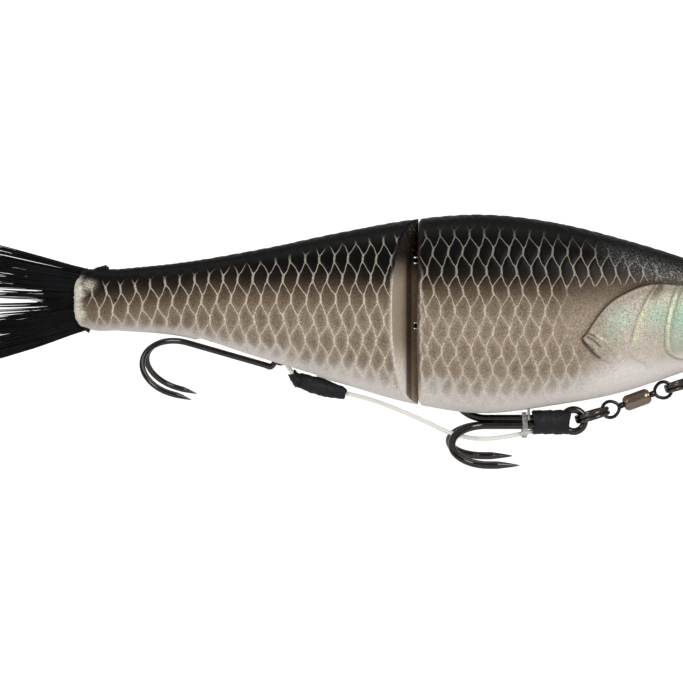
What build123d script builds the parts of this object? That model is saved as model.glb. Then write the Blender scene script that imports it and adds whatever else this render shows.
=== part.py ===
from build123d import *
from math import cos, pi, radians, sin, tan
import os

# Two-section glide bait with a stowed hook harness, in millimetres.
# The origin is the centre of the line-tie loop. +X points out of the nose, +Z is up and +Y is its left side.

# Body
wall = 2.0                  # shell wall
fullness = 2.3              # superellipse exponent of every cross-section
hinge_x = -106.6            # the vertical hinge axis between the two sections
stations = [                # x, height of the back, height of the belly, half width
    (-4.6, 0.9, -1.0, 1.0),
    (-9.0, 3.6, -3.3, 3.3),
    (-17.0, 8.0, -6.6, 5.7),
    (-27.0, 12.5, -10.8, 7.9),
    (-38.0, 16.5, -14.9, 10.0),
    (-52.0, 20.7, -19.4, 12.0),
    (-70.0, 25.0, -22.8, 13.3),
    (-88.0, 26.9, -24.8, 13.8),
    (hinge_x, 25.5, -22.1, 13.2),
    (-125.0, 22.2, -16.9, 11.1),
    (-145.6, 17.9, -10.8, 8.9),
    (-166.4, 14.4, -4.7, 6.8),
    (-182.0, 12.8, -3.3, 5.6),
    (-190.5, 12.0, -2.6, 4.6),
    (-193.7, 9.6, -0.2, 2.8),
]

# Joint between the sections
running = 0.05              # radial clearance of turning fits
rear_edge_radius = 2.2      # round front edge of the rear section
front_seat_radius = 2.7     # hollow in the front section that the edge turns in
rear_face_angle = 31.3      # how far the rear section's faces are swept back
front_face_angle = 5.2      # how far the front section's rear rim is dished
pin_radius = 0.75
pin_low, pin_high = -8.0, 20.0
hinge_eye_heights = {"lower": -2.0, "upper": 15.0}
hinge_eye_wire = 1.2
hinge_eye_length = 14.0
kerf_radius, kerf_height = 2.8, 1.8

# Line tie and chin eye, both ends of one through wire
tie_wire = 1.5
tie_bore_radius = 2.25
land_depth = 0.05           # flat worn on the inside of every eye
chin_wire = 1.2
chin_eye = {"centre": Vector(-31.0, 0, -15.7), "radius": 2.4, "wire": chin_wire}

# Harness; each eye's radius is to the middle of its wire
ring_outer, ring_wire = 9.4, 1.1
swivel_head = {"centre": Vector(-40.6, 0, -18.7), "radius": 2.1, "wire": 0.9}
swivel_tail = {"centre": Vector(-54.5, 0, -23.8), "radius": 2.1, "wire": 0.9}
barrel_radius, barrel_length = 2.05, 7.3
barrel_end_radius, barrel_taper = 1.25, 1.3
stem_radius = 0.7
stem_inner_end = 1.4        # from the swivel's middle to each stem's head
stem_head_radius, stem_head_length = 1.3, 0.9

# Front treble hook: three wires brazed side by side, one point straight up into the belly slot
treble_eye = {"centre": Vector(-64.0, 0, -26.7), "radius": 2.85, "wire": 1.9}
treble = {"wire": 2.0, "gape": 19.5, "offset": 1.16, "point": 7.9}
treble_axis = -27.3         # height of the shank
treble_bend_x = -86.85      # where the bends leave the shank

# Rear double hook: two wires side by side, points down and out
double_eye = {"centre": Vector(-140.2, 0, -9.9), "radius": 1.8, "wire": 1.4}
double = {"wire": 1.5, "gape": 19.3, "offset": 0, "point": 5.5}
double_side = 0.76          # of each wire from the middle
double_spread = 48.0        # of each point from straight down
double_slope = 16.0         # of the shank, rising towards the tail
double_bend = Vector(-164.4, 0, -6.45)
double_shank = 22.3
double_neck_wire = 1.4      # the short bent neck up to the eye

# Cord, its sleeves from their rear ends to their front ends, and the band
cord_diameter = 1.15
cord_route = [Vector(x, 0, z) for x, z in (
    (-74.5, -29.45), (-80.6, -30.85), (-88.6, -31.7), (-95.6, -30.3), (-103.4, -26.5),
    (-111.6, -23.0), (-118.2, -20.7), (-123.5, -19.5))]
front_sleeve = (Vector(-74.5, 0, -27.1), Vector(-65.0, 0, -27.1))
front_sleeve_radius = 3.3
rear_sleeve = (Vector(-135.6, 0, -16.7), Vector(-123.5, 0, -20.0))
rear_sleeve_radii = (2.1, 2.3, 1.6)
loop_wire = 1.0
loop_clearance = 0.05       # round the wire of the hook's eye
loop_tail = 1.0             # how far the cord loop runs into the rear sleeve
keeper_wire_radius = 0.35
keeper_foot = Vector(-75.9, -3.4, -26.3)
band_low, band_high, band_half_width, band_thickness = -31.2, -24.45, 2.8, 0.55
band_length = 1.2
band_x = keeper_foot.X - 0.9

# Eyes on the sides of the head
eye_radius, eye_bulge, eye_rim = 4.5, 1.7, 0.5
foil_thickness = 0.3
eye_plane = Plane(origin=(-25.4, 6.2, 4.6), z_dir=(0.2, 0.97, 0.13))

# Slots in the belly for the hooks
treble_slot_front, treble_slot_back, treble_slot_top = -77.9, -102.0, -5.2
treble_slot_width = 4.0
channel_front, channel_back = -130.6, -162.4
channel_depth, channel_width = 1.6, 6.4
eye_slot_front, eye_slot_back, eye_slot_top = -135.6, -144.4, -6.4
eye_slot_width = 4.0

# Inside the shells: solid cores round the slots and the hinge, saddles, and locating pegs at x, z
core_width = 7.6
saddle_places, saddle_thickness, saddle_top = (-50, -62), 1.6, -11
front_pegs = [(-40, 8), (-84, 15)]
rear_pegs = [(-140, 9), (-172, 5)]
peg_radius, boss_radius, peg_length = 1.2, 2.6, 3.0

# Tail
root_thickness, fan_thickness = 2.0, 1.6
root_points = [(-184.6, 12.9), (-191.5, 13.1), (-195.4, 10.6), (-196.4, 4.7), (-195.4, -1.6),
               (-191.5, -3.6), (-189.6, -3.4), (-187.6, 4.6)]
fan_points = [(-195.4, 10.6), (-196.2, 14.2), (-202.8, 15.9), (-213.0, 18.7), (-228.0, 22.4),
              (-229.0, 12.0), (-209.5, 5.5), (-229.0, -4.0), (-228.0, -14.4), (-213.0, -10.4),
              (-202.8, -7.3), (-196.2, -5.2), (-195.4, -1.6), (-196.4, 4.7)]

up = Vector(0, 0, 1)
across = Vector(0, 1, 0)
on_base = (Align.CENTER, Align.CENTER, Align.MIN)
far = 40.0                  # well outside the body, for cutting blocks
nodes = {}


def rod(start, end, radius, end_radius=None):
    run = end - start
    base = Plane(origin=start, z_dir=run.normalized())
    if end_radius is None:
        return base * Cylinder(radius, run.length, align=on_base)
    return base * Cone(radius, end_radius, run.length, align=on_base)


def swept(path, radius):
    return sweep(Plane(origin=path @ 0, z_dir=path % 0) * Circle(radius), path=path)


def wire_eye(centre, radius, wire):
    # A closed eye about the Y direction, with a narrow worn land on its inside
    facing = Plane(origin=centre, z_dir=across)
    return facing * Torus(radius, wire / 2) - facing * Cylinder(radius - wire / 2 + land_depth, 2 * wire)


def block(x_low, x_high, half_width, z_low, z_high):
    size = (x_high - x_low, 2 * half_width, z_high - z_low)
    return Pos((x_low + x_high) / 2, 0, (z_low + z_high) / 2) * Box(*size)


def half_section(x, top, bottom, half_width):
    # The left half of one cross-section, closed along the parting plane
    middle, rise = (top + bottom) / 2, (top - bottom) / 2
    points = [Vector(x, 0, bottom)]
    for angle in (-79, -60, -37, -12, 12, 37, 60, 79):
        side = half_width * cos(radians(angle)) ** (2 / fullness)
        lift = rise * abs(sin(radians(angle))) ** (2 / fullness)
        points.append(Vector(x, side, middle + (lift if angle > 0 else -lift)))
    points.append(Vector(x, 0, top))
    return make_face(Spline(*points) + Line(points[-1], points[0]))


def half_body(inset=0.0):
    return loft([half_section(x, top - inset, bottom + inset, side - inset)
                 for x, top, bottom, side in stations if min(top - bottom, side) > 2 * inset])


def joint_region(radius, face_angle):
    # Everything behind a round edge on the hinge axis and the two flat faces that are tangent to it
    turn = radians(face_angle)
    touch_x, touch_y = radius * cos(turn), radius * sin(turn)
    side_x, side_y = touch_x - far / 2 * sin(turn), touch_y + far / 2 * cos(turn)
    outline = Polygon((touch_x, touch_y), (side_x, side_y), (-3 * far, side_y),
                      (-3 * far, -side_y), (side_x, -side_y), (touch_x, -touch_y), align=None)
    return Pos(hinge_x, 0, -far) * extrude(outline + Circle(radius), 2 * far)


def belly_height(x):
    # Height of the belly line between the stations on each side of x
    for ahead, behind in zip(stations, stations[1:]):
        if behind[0] <= x <= ahead[0]:
            share = (ahead[0] - x) / (ahead[0] - behind[0])
            return ahead[2] + share * (behind[2] - ahead[2])


# Through wire: line-tie loop at the nose, chin eye under the lower jaw
tie_radius = tie_bore_radius - land_depth + tie_wire / 2
chin_top = chin_eye["centre"] + up * chin_eye["radius"]
tie_path = FilletPolyline((-tie_radius, 0, 0), (-20, 0, 0), (-29.6, 0, -5.5), chin_top, radius=[5, 4])
line_tie_wire = wire_eye(Vector(0, 0, 0), tie_radius, tie_wire) + swept(tie_path, chin_wire / 2)
line_tie_wire += wire_eye(**chin_eye)
nodes["line_tie_wire"] = line_tie_wire

# Hinge: a pin held in the rear section's round edge, in two eyes screwed into the front section
hinge_pin = rod(Vector(hinge_x, 0, pin_low), Vector(hinge_x, 0, pin_high), pin_radius)
nodes["hinge_pin"] = hinge_pin
hinge_eyes, kerfs = [], []
hinge_eye_radius = pin_radius + running + hinge_eye_wire / 2 - land_depth
for name, height in hinge_eye_heights.items():
    centre = Vector(hinge_x, 0, height)
    level = Plane(origin=centre, z_dir=up)
    shank_start = centre + Vector(hinge_eye_radius, 0, 0)
    shank_end = centre + Vector(hinge_eye_length, 0, 0)
    eye = level * Torus(hinge_eye_radius, hinge_eye_wire / 2)
    eye += rod(shank_start, shank_end, hinge_eye_wire / 2)
    eye -= level * Cylinder(pin_radius + running, 2 * hinge_eye_wire)
    hinge_eyes.append(eye)
    kerfs.append(level * Cylinder(kerf_radius, kerf_height))
    nodes[f"{name}_hinge_eye"] = eye

# Weights and magnets
front_ballast = rod(Vector(-65.5, 0, -13.2), Vector(-47.5, 0, -11.0), 5.2)
rear_ballast = rod(Vector(-119, 0, -14), Vector(-119, 0, -4), 4)
front_hook_magnet = rod(Vector(-70.4, 0, -20.0), Vector(-70.4, 0, -16.5), 4)
rear_hook_magnet = rod(Vector(-151, 0, -6.6), Vector(-151, 0, -3.6), 2.5)
nodes["front_ballast"] = front_ballast
nodes["rear_ballast"] = rear_ballast
nodes["front_hook_magnet"] = front_hook_magnet
nodes["rear_hook_magnet"] = rear_hook_magnet

# Keeper: a small wire catch beside the belly slot, which the silicone band hooks over
keeper_path = FilletPolyline(keeper_foot + up * 8, keeper_foot, keeper_foot + Vector(0, -1.3, 0.3), radius=0.6)
keeper_wire = swept(keeper_path, keeper_wire_radius)
nodes["keeper_wire"] = keeper_wire

# Eyes: a printed iris foil under a domed lens, in a pocket on each side of the head
eye_pocket = eye_plane * Cylinder(eye_radius, 8, align=on_base)
iris_foil = eye_plane * Cylinder(eye_radius, foil_thickness, align=on_base)
dome_radius = (eye_radius**2 + eye_bulge**2) / (2 * eye_bulge)
dome = Pos(0, 0, foil_thickness + eye_rim + eye_bulge - dome_radius) * Sphere(dome_radius)
lens = eye_plane * (dome & Pos(0, 0, foil_thickness) * Cylinder(eye_radius, 4, align=on_base))
nodes["iris_foil_left"] = iris_foil
nodes["iris_foil_right"] = mirror(iris_foil, about=Plane.XZ)
nodes["eye_lens_left"] = lens
nodes["eye_lens_right"] = mirror(lens, about=Plane.XZ)

# Tail: bristles set in a black root that fills a vertical slot round the end of the rear section
root_outline = Polygon(*root_points, align=None)
fan_outline = Polygon(*fan_points, align=None)
nodes["tail_root"] = extrude(Plane.XZ * root_outline, root_thickness / 2, both=True)
nodes["tail_brush"] = extrude(Plane.XZ * fan_outline, fan_thickness / 2, both=True)
tail_slot = extrude(Plane.XZ * (root_outline + fan_outline), root_thickness / 2, both=True)

# Slots under the body: a narrow one for the treble's third point, and a flat-floored channel along the
# rear belly with a deeper slot for the double hook's eye
treble_slot = block(treble_slot_back, treble_slot_front, treble_slot_width / 2, -far, treble_slot_top)
eye_slot = block(eye_slot_back, eye_slot_front, eye_slot_width / 2, -far, eye_slot_top)
channel_side = [(channel_front, -far), (channel_front, belly_height(channel_front))]
channel_side += [(x, belly_height(x) + channel_depth)
                 for x in (channel_front - channel_depth, -145.6, channel_back + 3)]
channel_side += [(channel_back, belly_height(channel_back)), (channel_back, -far)]
channel = extrude(Plane.XZ * Polygon(*channel_side, align=None), channel_width / 2, both=True)

# What stays solid inside the shells
front_core = block(-104, -66, core_width / 2, -far, -3.2) + block(-104, -90, core_width / 2, -6, 19)
for x in saddle_places:
    front_core += block(x - saddle_thickness / 2, x + saddle_thickness / 2, far, -far, saddle_top)
rear_core = block(-166, -126, core_width / 2, -far, -2.6)
for x, z in front_pegs:
    front_core += rod(Vector(x, 0, z), Vector(x, far, z), boss_radius)
for x, z in rear_pegs:
    rear_core += rod(Vector(x, 0, z), Vector(x, far, z), boss_radius)

# Shells: the left halves, then their mirror images
body = half_body()
hollow = half_body(wall)
front_left = body - joint_region(front_seat_radius, front_face_angle)
front_left -= (hollow & block(-99, -15, far, -far, far)) - front_core
for cut in (treble_slot, eye_pocket, line_tie_wire, front_ballast, front_hook_magnet, *hinge_eyes):
    front_left -= cut
rear_left = body & joint_region(rear_edge_radius, rear_face_angle)
rear_left -= (hollow & block(-182.5, -127, far, -far, far)) - rear_core
for cut in (channel, eye_slot, tail_slot, rear_ballast, rear_hook_magnet, hinge_pin, *kerfs):
    rear_left -= cut
front_right = mirror(front_left, about=Plane.XZ) - keeper_wire
rear_right = mirror(rear_left, about=Plane.XZ)


def peg(x, z, radius, reach, root):
    return rod(Vector(x, -reach, z), Vector(x, root, z), radius)


for x, z in front_pegs:
    front_left += peg(x, z, peg_radius, peg_length, 1)
    front_right -= peg(x, z, peg_radius + running, peg_length + 0.2, 0)
for x, z in rear_pegs:
    rear_left += peg(x, z, peg_radius, peg_length, 1)
    rear_right -= peg(x, z, peg_radius + running, peg_length + 0.2, 0)
nodes["front_shell_left"] = front_left
nodes["front_shell_right"] = front_right
nodes["rear_shell_left"] = rear_left
nodes["rear_shell_right"] = rear_right


def split_ring(eye_a, eye_b):
    # A ring of two coils through both eyes, with the same slack at each
    chain = (eye_b["centre"] - eye_a["centre"]).normalized()
    end_a = eye_a["centre"] + chain * (eye_a["radius"] - eye_a["wire"] / 2)
    end_b = eye_b["centre"] - chain * (eye_b["radius"] - eye_b["wire"] / 2)
    middle_radius = (ring_outer - ring_wire) / 2
    profile = Plane.XZ * Pos(middle_radius, 0) * SlotOverall(2 * ring_wire, ring_wire, rotation=90)
    return Plane(origin=(end_a + end_b) / 2, z_dir=(-chain.Z, 0, chain.X)) * revolve(profile, Axis.Z)


nodes["chin_split_ring"] = split_ring(chin_eye, swivel_head)
nodes["harness_split_ring"] = split_ring(swivel_tail, treble_eye)

# Swivel: two eyes with headed stems that turn in a barrel
swivel_line = (swivel_tail["centre"] - swivel_head["centre"]).normalized()
swivel_middle = (swivel_head["centre"] + swivel_tail["centre"]) / 2


def swivel_end(eye, inward):
    inner = swivel_middle - inward * stem_inner_end
    stem = rod(eye["centre"] + inward * (eye["radius"] - 0.1), inner, stem_radius)
    return wire_eye(**eye) + stem + rod(inner - inward * stem_head_length, inner, stem_head_radius)


half_barrel = barrel_length / 2
barrel_profile = Polygon((0, -half_barrel), (barrel_end_radius, -half_barrel),
                         (barrel_radius, -half_barrel + barrel_taper),
                         (barrel_radius, half_barrel - barrel_taper),
                         (barrel_end_radius, half_barrel), (0, half_barrel), align=None)
barrel = revolve(Plane.XZ * barrel_profile, Axis.Z) - Cylinder(stem_radius + running, 2 * barrel_length)
barrel -= Cylinder(stem_head_radius + running, 2 * (stem_inner_end + stem_head_length + 0.1))
nodes["swivel_barrel"] = Plane(origin=swivel_middle, z_dir=swivel_line) * barrel
nodes["swivel_head_eye"] = swivel_end(swivel_head, swivel_line)
nodes["swivel_tail_eye"] = swivel_end(swivel_tail, -swivel_line)


def hook_wire(shank, start, along, radial, wire, gape, offset, point):
    # One wire of a hook: shank, round bend, a straight run back and a tapered point
    bend = (gape - offset) / 2
    low = start + radial * (2 * bend)
    straight = low - along * (point * 0.35)
    arc = ThreePointArc(start, start + radial * bend + along * bend, low)
    path = Line(shank, start) + arc + Line(low, straight)
    return swept(path, wire / 2) + rod(straight, low - along * point, wire / 2, 0.12)


treble_neck = Vector(treble_eye["centre"].X - treble_eye["radius"], 0, treble_axis)
treble_end = Vector(treble_bend_x, 0, treble_axis)
front_treble = wire_eye(**treble_eye) + rod(treble_neck, treble_end + Vector(1, 0, 0), 0.8)
for angle in (0, 120, 240):
    radial = Vector(0, sin(radians(angle)), cos(radians(angle)))
    outward = radial * treble["offset"]
    front_treble += hook_wire(treble_neck + outward, treble_end + outward, Vector(-1, 0, 0), radial, **treble)
nodes["front_treble"] = front_treble

slope = radians(double_slope)
double_along = Vector(-cos(slope), 0, sin(slope))
double_down = Vector(-sin(slope), 0, -cos(slope))
double_neck = double_bend - double_along * double_shank
rear_double_hook = rod(double_neck + double_along, double_bend - double_along, 0.45)
neck_line = (double_neck - double_eye["centre"]).normalized()
neck_start = double_eye["centre"] + neck_line * double_eye["radius"]
rear_double_hook += rod(neck_start, double_neck + double_along * 0.6, double_neck_wire / 2)
for side in (-1, 1):
    spread = radians(double_spread)
    radial = double_down * cos(spread) + across * (side * sin(spread))
    outward = across * (side * double_side)
    rear_double_hook += hook_wire(double_neck + outward, double_bend + outward, double_along, radial, **double)
rear_double_hook += wire_eye(**double_eye)
nodes["rear_double_hook"] = rear_double_hook


def arc_radius(before, corner, after):
    turn = (corner - before).get_angle(after - corner)
    return 0.45 * min((corner - before).length, (after - corner).length) / tan(radians(turn / 2))


# Cord between the sleeves: straight runs joined by tangent arcs
cord_radii = [arc_radius(*cord_route[i:i + 3]) for i in range(len(cord_route) - 2)]
cord_path = FilletPolyline(*cord_route, radius=cord_radii)
assist_cord = swept(cord_path, cord_diameter / 2)
nodes["assist_cord"] = assist_cord
print("cord radii", [round(radius, 1) for radius in cord_radii], "length", round(cord_path.length, 2))
print("cord volume", round(assist_cord.volume, 2),
      "section x length", round(pi * cord_diameter**2 / 4 * cord_path.length, 2))

# Sleeves: shrunk tubing over the cord's lashings, and the cord's loop through the double hook's eye
nodes["front_shrink_tube"] = rod(*front_sleeve, front_sleeve_radius) - front_treble - assist_cord
loop_line = (rear_sleeve[0] - double_eye["centre"]).normalized()
loop_radius = double_eye["wire"] / 2 + loop_clearance + loop_wire / 2
loop_start = double_eye["centre"] + loop_line * (double_eye["radius"] - loop_radius)
loop_end = rear_sleeve[0] + loop_line * loop_tail
loop_plane = Plane(origin=(loop_start + loop_end) / 2, x_dir=loop_line, z_dir=(-loop_line.Z, 0, loop_line.X))
loop_path = (loop_plane * SlotOverall((loop_end - loop_start).length, 2 * loop_radius)).wire()
cord_loop = swept(loop_path, loop_wire / 2)
nodes["cord_loop"] = cord_loop
sleeve_middle = (rear_sleeve[0] + rear_sleeve[1]) / 2
rear_tube = rod(rear_sleeve[0], sleeve_middle, *rear_sleeve_radii[:2])
rear_tube += rod(sleeve_middle, rear_sleeve[1], *rear_sleeve_radii[1:])
nodes["rear_shrink_tube"] = rear_tube - cord_loop - assist_cord

# Band: a silicone ring round the treble's shank and the cord
band_height = band_high - band_low
band_outline = SlotOverall(band_height, 2 * band_half_width, rotation=90)
band_hole_width = 2 * (band_half_width - band_thickness)
band_outline -= SlotOverall(band_height - 2 * band_thickness, band_hole_width, rotation=90)
band_plane = Plane(origin=(band_x, 0, (band_low + band_high) / 2), x_dir=(0, 1, 0), z_dir=(1, 0, 0))
nodes["keeper_band"] = extrude(band_plane * band_outline, band_length / 2, both=True)

os.makedirs("parts", exist_ok=True)
for node, shape in nodes.items():
    export_step(shape, f"parts/{node}.step")
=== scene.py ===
import math

import bmesh
import bpy
import numpy as np
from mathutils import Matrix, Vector


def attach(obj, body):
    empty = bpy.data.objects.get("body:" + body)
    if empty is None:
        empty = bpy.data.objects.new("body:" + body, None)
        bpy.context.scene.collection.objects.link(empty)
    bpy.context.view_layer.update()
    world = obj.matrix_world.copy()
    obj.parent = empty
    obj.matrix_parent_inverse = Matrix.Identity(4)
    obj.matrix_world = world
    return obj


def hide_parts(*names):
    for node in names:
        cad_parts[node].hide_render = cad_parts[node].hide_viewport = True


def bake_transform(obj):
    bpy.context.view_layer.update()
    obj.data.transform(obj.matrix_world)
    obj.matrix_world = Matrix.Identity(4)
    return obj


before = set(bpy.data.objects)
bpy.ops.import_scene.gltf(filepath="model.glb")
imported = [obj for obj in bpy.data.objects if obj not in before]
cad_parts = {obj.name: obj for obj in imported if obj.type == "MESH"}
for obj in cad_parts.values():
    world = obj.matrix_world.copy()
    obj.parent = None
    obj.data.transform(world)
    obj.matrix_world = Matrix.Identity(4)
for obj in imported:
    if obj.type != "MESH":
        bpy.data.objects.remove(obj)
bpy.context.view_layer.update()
mm = 0.001
print("frame:", len(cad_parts), "nodes")


# Camera: side view from the bait's right, a little above
view = {"aim": (-124.4, 0, -6.1), "width": 177.6, "distance": 820, "elevation": 2.0, "sensor": 36.0}


def placeCamera():
    lift = math.radians(view["elevation"])
    aim = Vector(view["aim"]) * mm
    back = Vector((0, -math.cos(lift), math.sin(lift))) * view["distance"] * mm
    lens = bpy.data.cameras.new("camera")
    lens.sensor_width = view["sensor"]
    lens.lens = view["sensor"] * view["distance"] / view["width"]
    lens.clip_start, lens.clip_end = 0.01, 20
    holder = bpy.data.objects.new("camera", lens)
    bpy.context.scene.collection.objects.link(holder)
    holder.location = aim + back
    holder.rotation_euler = (-back).to_track_quat("-Z", "Y").to_euler()
    bpy.context.scene.camera = holder


placeCamera()


# Mesh helpers, all in millimetres
def addObject(name, data, *materials):
    thing = bpy.data.objects.new(name, data)
    bpy.context.scene.collection.objects.link(thing)
    for material in materials:
        data.materials.append(material)
    return thing


def meshFrom(name, points, faces, materials=(), smooth=40):
    mesh = bpy.data.meshes.new(name)
    mesh.from_pydata((np.asarray(points, float) * mm).tolist(), [], [list(map(int, face)) for face in faces])
    mesh.validate()
    mesh.shade_smooth()
    if smooth:
        mesh.set_sharp_from_angle(angle=math.radians(smooth))
    return addObject(name, mesh, *materials)


def gridFaces(rows, columns, wrap=False):
    # quads of a rows x columns grid of points; wrap joins the last column to the first
    r, c = np.meshgrid(np.arange(rows - 1), np.arange(columns if wrap else columns - 1), indexing="ij")
    c2 = (c + 1) % columns
    quads = np.stack([r * columns + c, r * columns + c2, (r + 1) * columns + c2, (r + 1) * columns + c], -1)
    return quads.reshape(-1, 4).tolist()


def smoothStep(value, low, high):
    t = np.clip((np.asarray(value, float) - low) / (high - low), 0, 1)
    return t * t * (3 - 2 * t)


def bell(distance, width):
    return np.exp(-(distance / width) ** 2)


def smoothPath(points, each=12, closed=False):
    # Catmull-Rom curve through the points
    points = np.asarray(points, float)
    if closed:
        padded = np.vstack([points[-1:], points, points[:2]])
    else:
        padded = np.vstack([2 * points[:1] - points[1:2], points, 2 * points[-1:] - points[-2:-1]])
    path = []
    for a, b, c, d in zip(padded, padded[1:], padded[2:], padded[3:]):
        for t in np.arange(each) / each:
            path.append(0.5 * (2 * b + (c - a) * t + (2 * a - 5 * b + 4 * c - d) * t**2
                               + (3 * b - a - 3 * c + d) * t**3))
    if not closed:
        path.append(points[-1])
    return np.array(path)


def evenPath(path, step):
    path = np.asarray(path, float)
    along = np.concatenate([[0], np.cumsum(np.linalg.norm(np.diff(path, axis=0), axis=1))])
    places = np.linspace(0, along[-1], max(2, int(round(along[-1] / step)) + 1))
    return np.stack([np.interp(places, along, path[:, i]) for i in range(path.shape[1])], -1)


def pathFrames(path, closed=False):
    # a side and an upward direction at each point, carried along without twist
    path = np.asarray(path, float)
    if closed:
        tangent = np.roll(path, -1, 0) - np.roll(path, 1, 0)
    else:
        tangent = np.gradient(path, axis=0)
    tangent /= np.linalg.norm(tangent, axis=1)[:, None]
    side = np.cross(tangent[0], (0.13, 0.31, 0.94) if abs(tangent[0][2]) < 0.9 else (1, 0.2, 0))
    sides = []
    for direction in tangent:
        side = side - direction * np.dot(side, direction)
        side /= np.linalg.norm(side)
        sides.append(side)
    sides = np.array(sides)
    return sides, np.cross(tangent, sides)


def tubeParts(path, radius, sides=12, closed=False):
    # points and faces of a tube; radius is a number, one per point, or one per point and side
    path = np.asarray(path, float)
    across, upward = pathFrames(path, closed)
    turn = np.linspace(0, 2 * math.pi, sides, endpoint=False)
    size = np.broadcast_to(np.asarray(radius, float).reshape(len(path) if np.ndim(radius) else 1, -1),
                           (len(path), sides))[..., None]
    ring = np.cos(turn)[None, :, None] * across[:, None] + np.sin(turn)[None, :, None] * upward[:, None]
    points = (path[:, None] + ring * size).reshape(-1, 3)
    faces = gridFaces(len(path), sides, wrap=True)
    if closed:
        last = (len(path) - 1) * sides
        match = np.argmin(np.linalg.norm(points[:sides] - points[last], axis=1))
        for i in range(sides):
            faces.append([last + i, last + (i + 1) % sides, (match + i + 1) % sides, (match + i) % sides])
    else:
        points = np.vstack([points, path[0], path[-1]])
        for i in range(sides):
            j = (i + 1) % sides
            faces.append([len(points) - 2, j, i])
            faces.append([len(points) - 1, len(points) - 2 - sides + i, len(points) - 2 - sides + j])
    return points, faces


def joinParts(name, parts, materials=(), smooth=40):
    points, faces, start = [], [], 0
    for partPoints, partFaces in parts:
        points.append(partPoints)
        faces += [[index + start for index in face] for face in partFaces]
        start += len(partPoints)
    return meshFrom(name, np.vstack(points), faces, materials, smooth)


def assign(piece, body, node):
    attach(piece, body)
    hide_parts(node)


def setAttribute(mesh, name, values):
    layer = mesh.attributes.new(name, "FLOAT", "POINT")
    layer.data.foreach_set("value", np.asarray(values, np.float32))


def meshPoints(mesh):
    flat = np.zeros(len(mesh.vertices) * 3)
    mesh.vertices.foreach_get("co", flat)
    return flat.reshape(-1, 3) / mm


def distanceTo(x, z, path):
    path = np.asarray(path, float)
    nearest = np.full(x.shape, 1e9)
    for (ax, az), (bx, bz) in zip(path, path[1:]):
        dx, dz = bx - ax, bz - az
        t = np.clip(((x - ax) * dx + (z - az) * dz) / (dx * dx + dz * dz + 1e-12), 0, 1)
        nearest = np.minimum(nearest, np.hypot(x - ax - t * dx, z - az - t * dz))
    return nearest


def insideOf(x, z, outline):
    inside = np.zeros(x.shape, bool)
    for (ax, az), (bx, bz) in zip(outline, np.roll(outline, -1, 0)):
        crosses = (az > z) != (bz > z)
        inside ^= crosses & (x < (bx - ax) * (z - az) / (bz - az + 1e-12) + ax)
    return inside


# Shader helpers
def paint(red, green, blue):
    linear = [(c / 255 / 12.92) if c / 255 <= 0.04045 else ((c / 255 + 0.055) / 1.055) ** 2.4
              for c in (red, green, blue)]
    return (*linear, 1)


def addNode(tree, kind, inputs=None, **settings):
    made = tree.nodes.new(kind)
    for key, value in settings.items():
        setattr(made, key, value)
    for key, value in (inputs or {}).items():
        if isinstance(value, bpy.types.NodeSocket):
            tree.links.new(value, made.inputs[key])
        else:
            made.inputs[key].default_value = value
    return made


def calc(tree, operation, first, second=0.0, third=0.0):
    inputs = {0: first, 1: second, 2: third}
    return addNode(tree, "ShaderNodeMath", inputs, operation=operation).outputs[0]


def fit(tree, value, low, high, toLow=0.0, toHigh=1.0):
    inputs = {"Value": value, "From Min": low, "From Max": high, "To Min": toLow, "To Max": toHigh}
    return addNode(tree, "ShaderNodeMapRange", inputs, interpolation_type="SMOOTHSTEP").outputs[0]


def mixColor(tree, factor, first, second, mode="MIX"):
    made = addNode(tree, "ShaderNodeMix", {0: factor, 6: first, 7: second}, data_type="RGBA", blend_type=mode)
    return made.outputs[2]


def attribute(tree, name):
    return addNode(tree, "ShaderNodeAttribute", attribute_name=name).outputs["Fac"]


def objectPlace(tree):
    return addNode(tree, "ShaderNodeTexCoord").outputs["Object"]


def noiseOf(tree, place, scale, detail=3.0, roughness=0.5):
    inputs = {"Vector": place, "Scale": scale, "Detail": detail, "Roughness": roughness}
    return addNode(tree, "ShaderNodeTexNoise", inputs).outputs["Fac"]


def newGroup(name, inputs, outputs):
    group = bpy.data.node_groups.new(name, "ShaderNodeTree")
    for label, kind, value in inputs:
        made = group.interface.new_socket(name=label, in_out="INPUT", socket_type=kind)
        if value is not None:
            made.default_value = value
    for label, kind in outputs:
        group.interface.new_socket(name=label, in_out="OUTPUT", socket_type=kind)
    return group, addNode(group, "NodeGroupInput").outputs, addNode(group, "NodeGroupOutput").inputs


def useGroup(tree, group, inputs):
    return addNode(tree, "ShaderNodeGroup", inputs, node_tree=group).outputs


def newMaterial(name, constants):
    material = bpy.data.materials.new(name)
    material.use_nodes = True
    tree = material.node_tree
    shader = tree.nodes["Principled BSDF"]
    for key, value in constants.items():
        shader.inputs[key].default_value = value
    return material, tree, shader


def bumpOn(tree, shader, height, distance, strength=1.0):
    made = addNode(tree, "ShaderNodeBump", {"Height": height, "Distance": distance, "Strength": strength})
    tree.links.new(made.outputs["Normal"], shader.inputs["Normal"])


number, vector = "NodeSocketFloat", "NodeSocketVector"


def makeSpeckle():
    # sprayed paint: fine dots and slow drifts of tone
    group, given, result = newGroup("sprayedSpeckle", [("Place", vector, None), ("Dot Scale", number, 1500.0),
                                    ("Drift Scale", number, 60.0)], [("Dots", number), ("Drift", number)])
    dots = noiseOf(group, given["Place"], given["Dot Scale"], 2.0, 0.7)
    drift = noiseOf(group, given["Place"], given["Drift Scale"], 3.0, 0.55)
    group.links.new(dots, result["Dots"])
    group.links.new(drift, result["Drift"])
    return group


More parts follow.
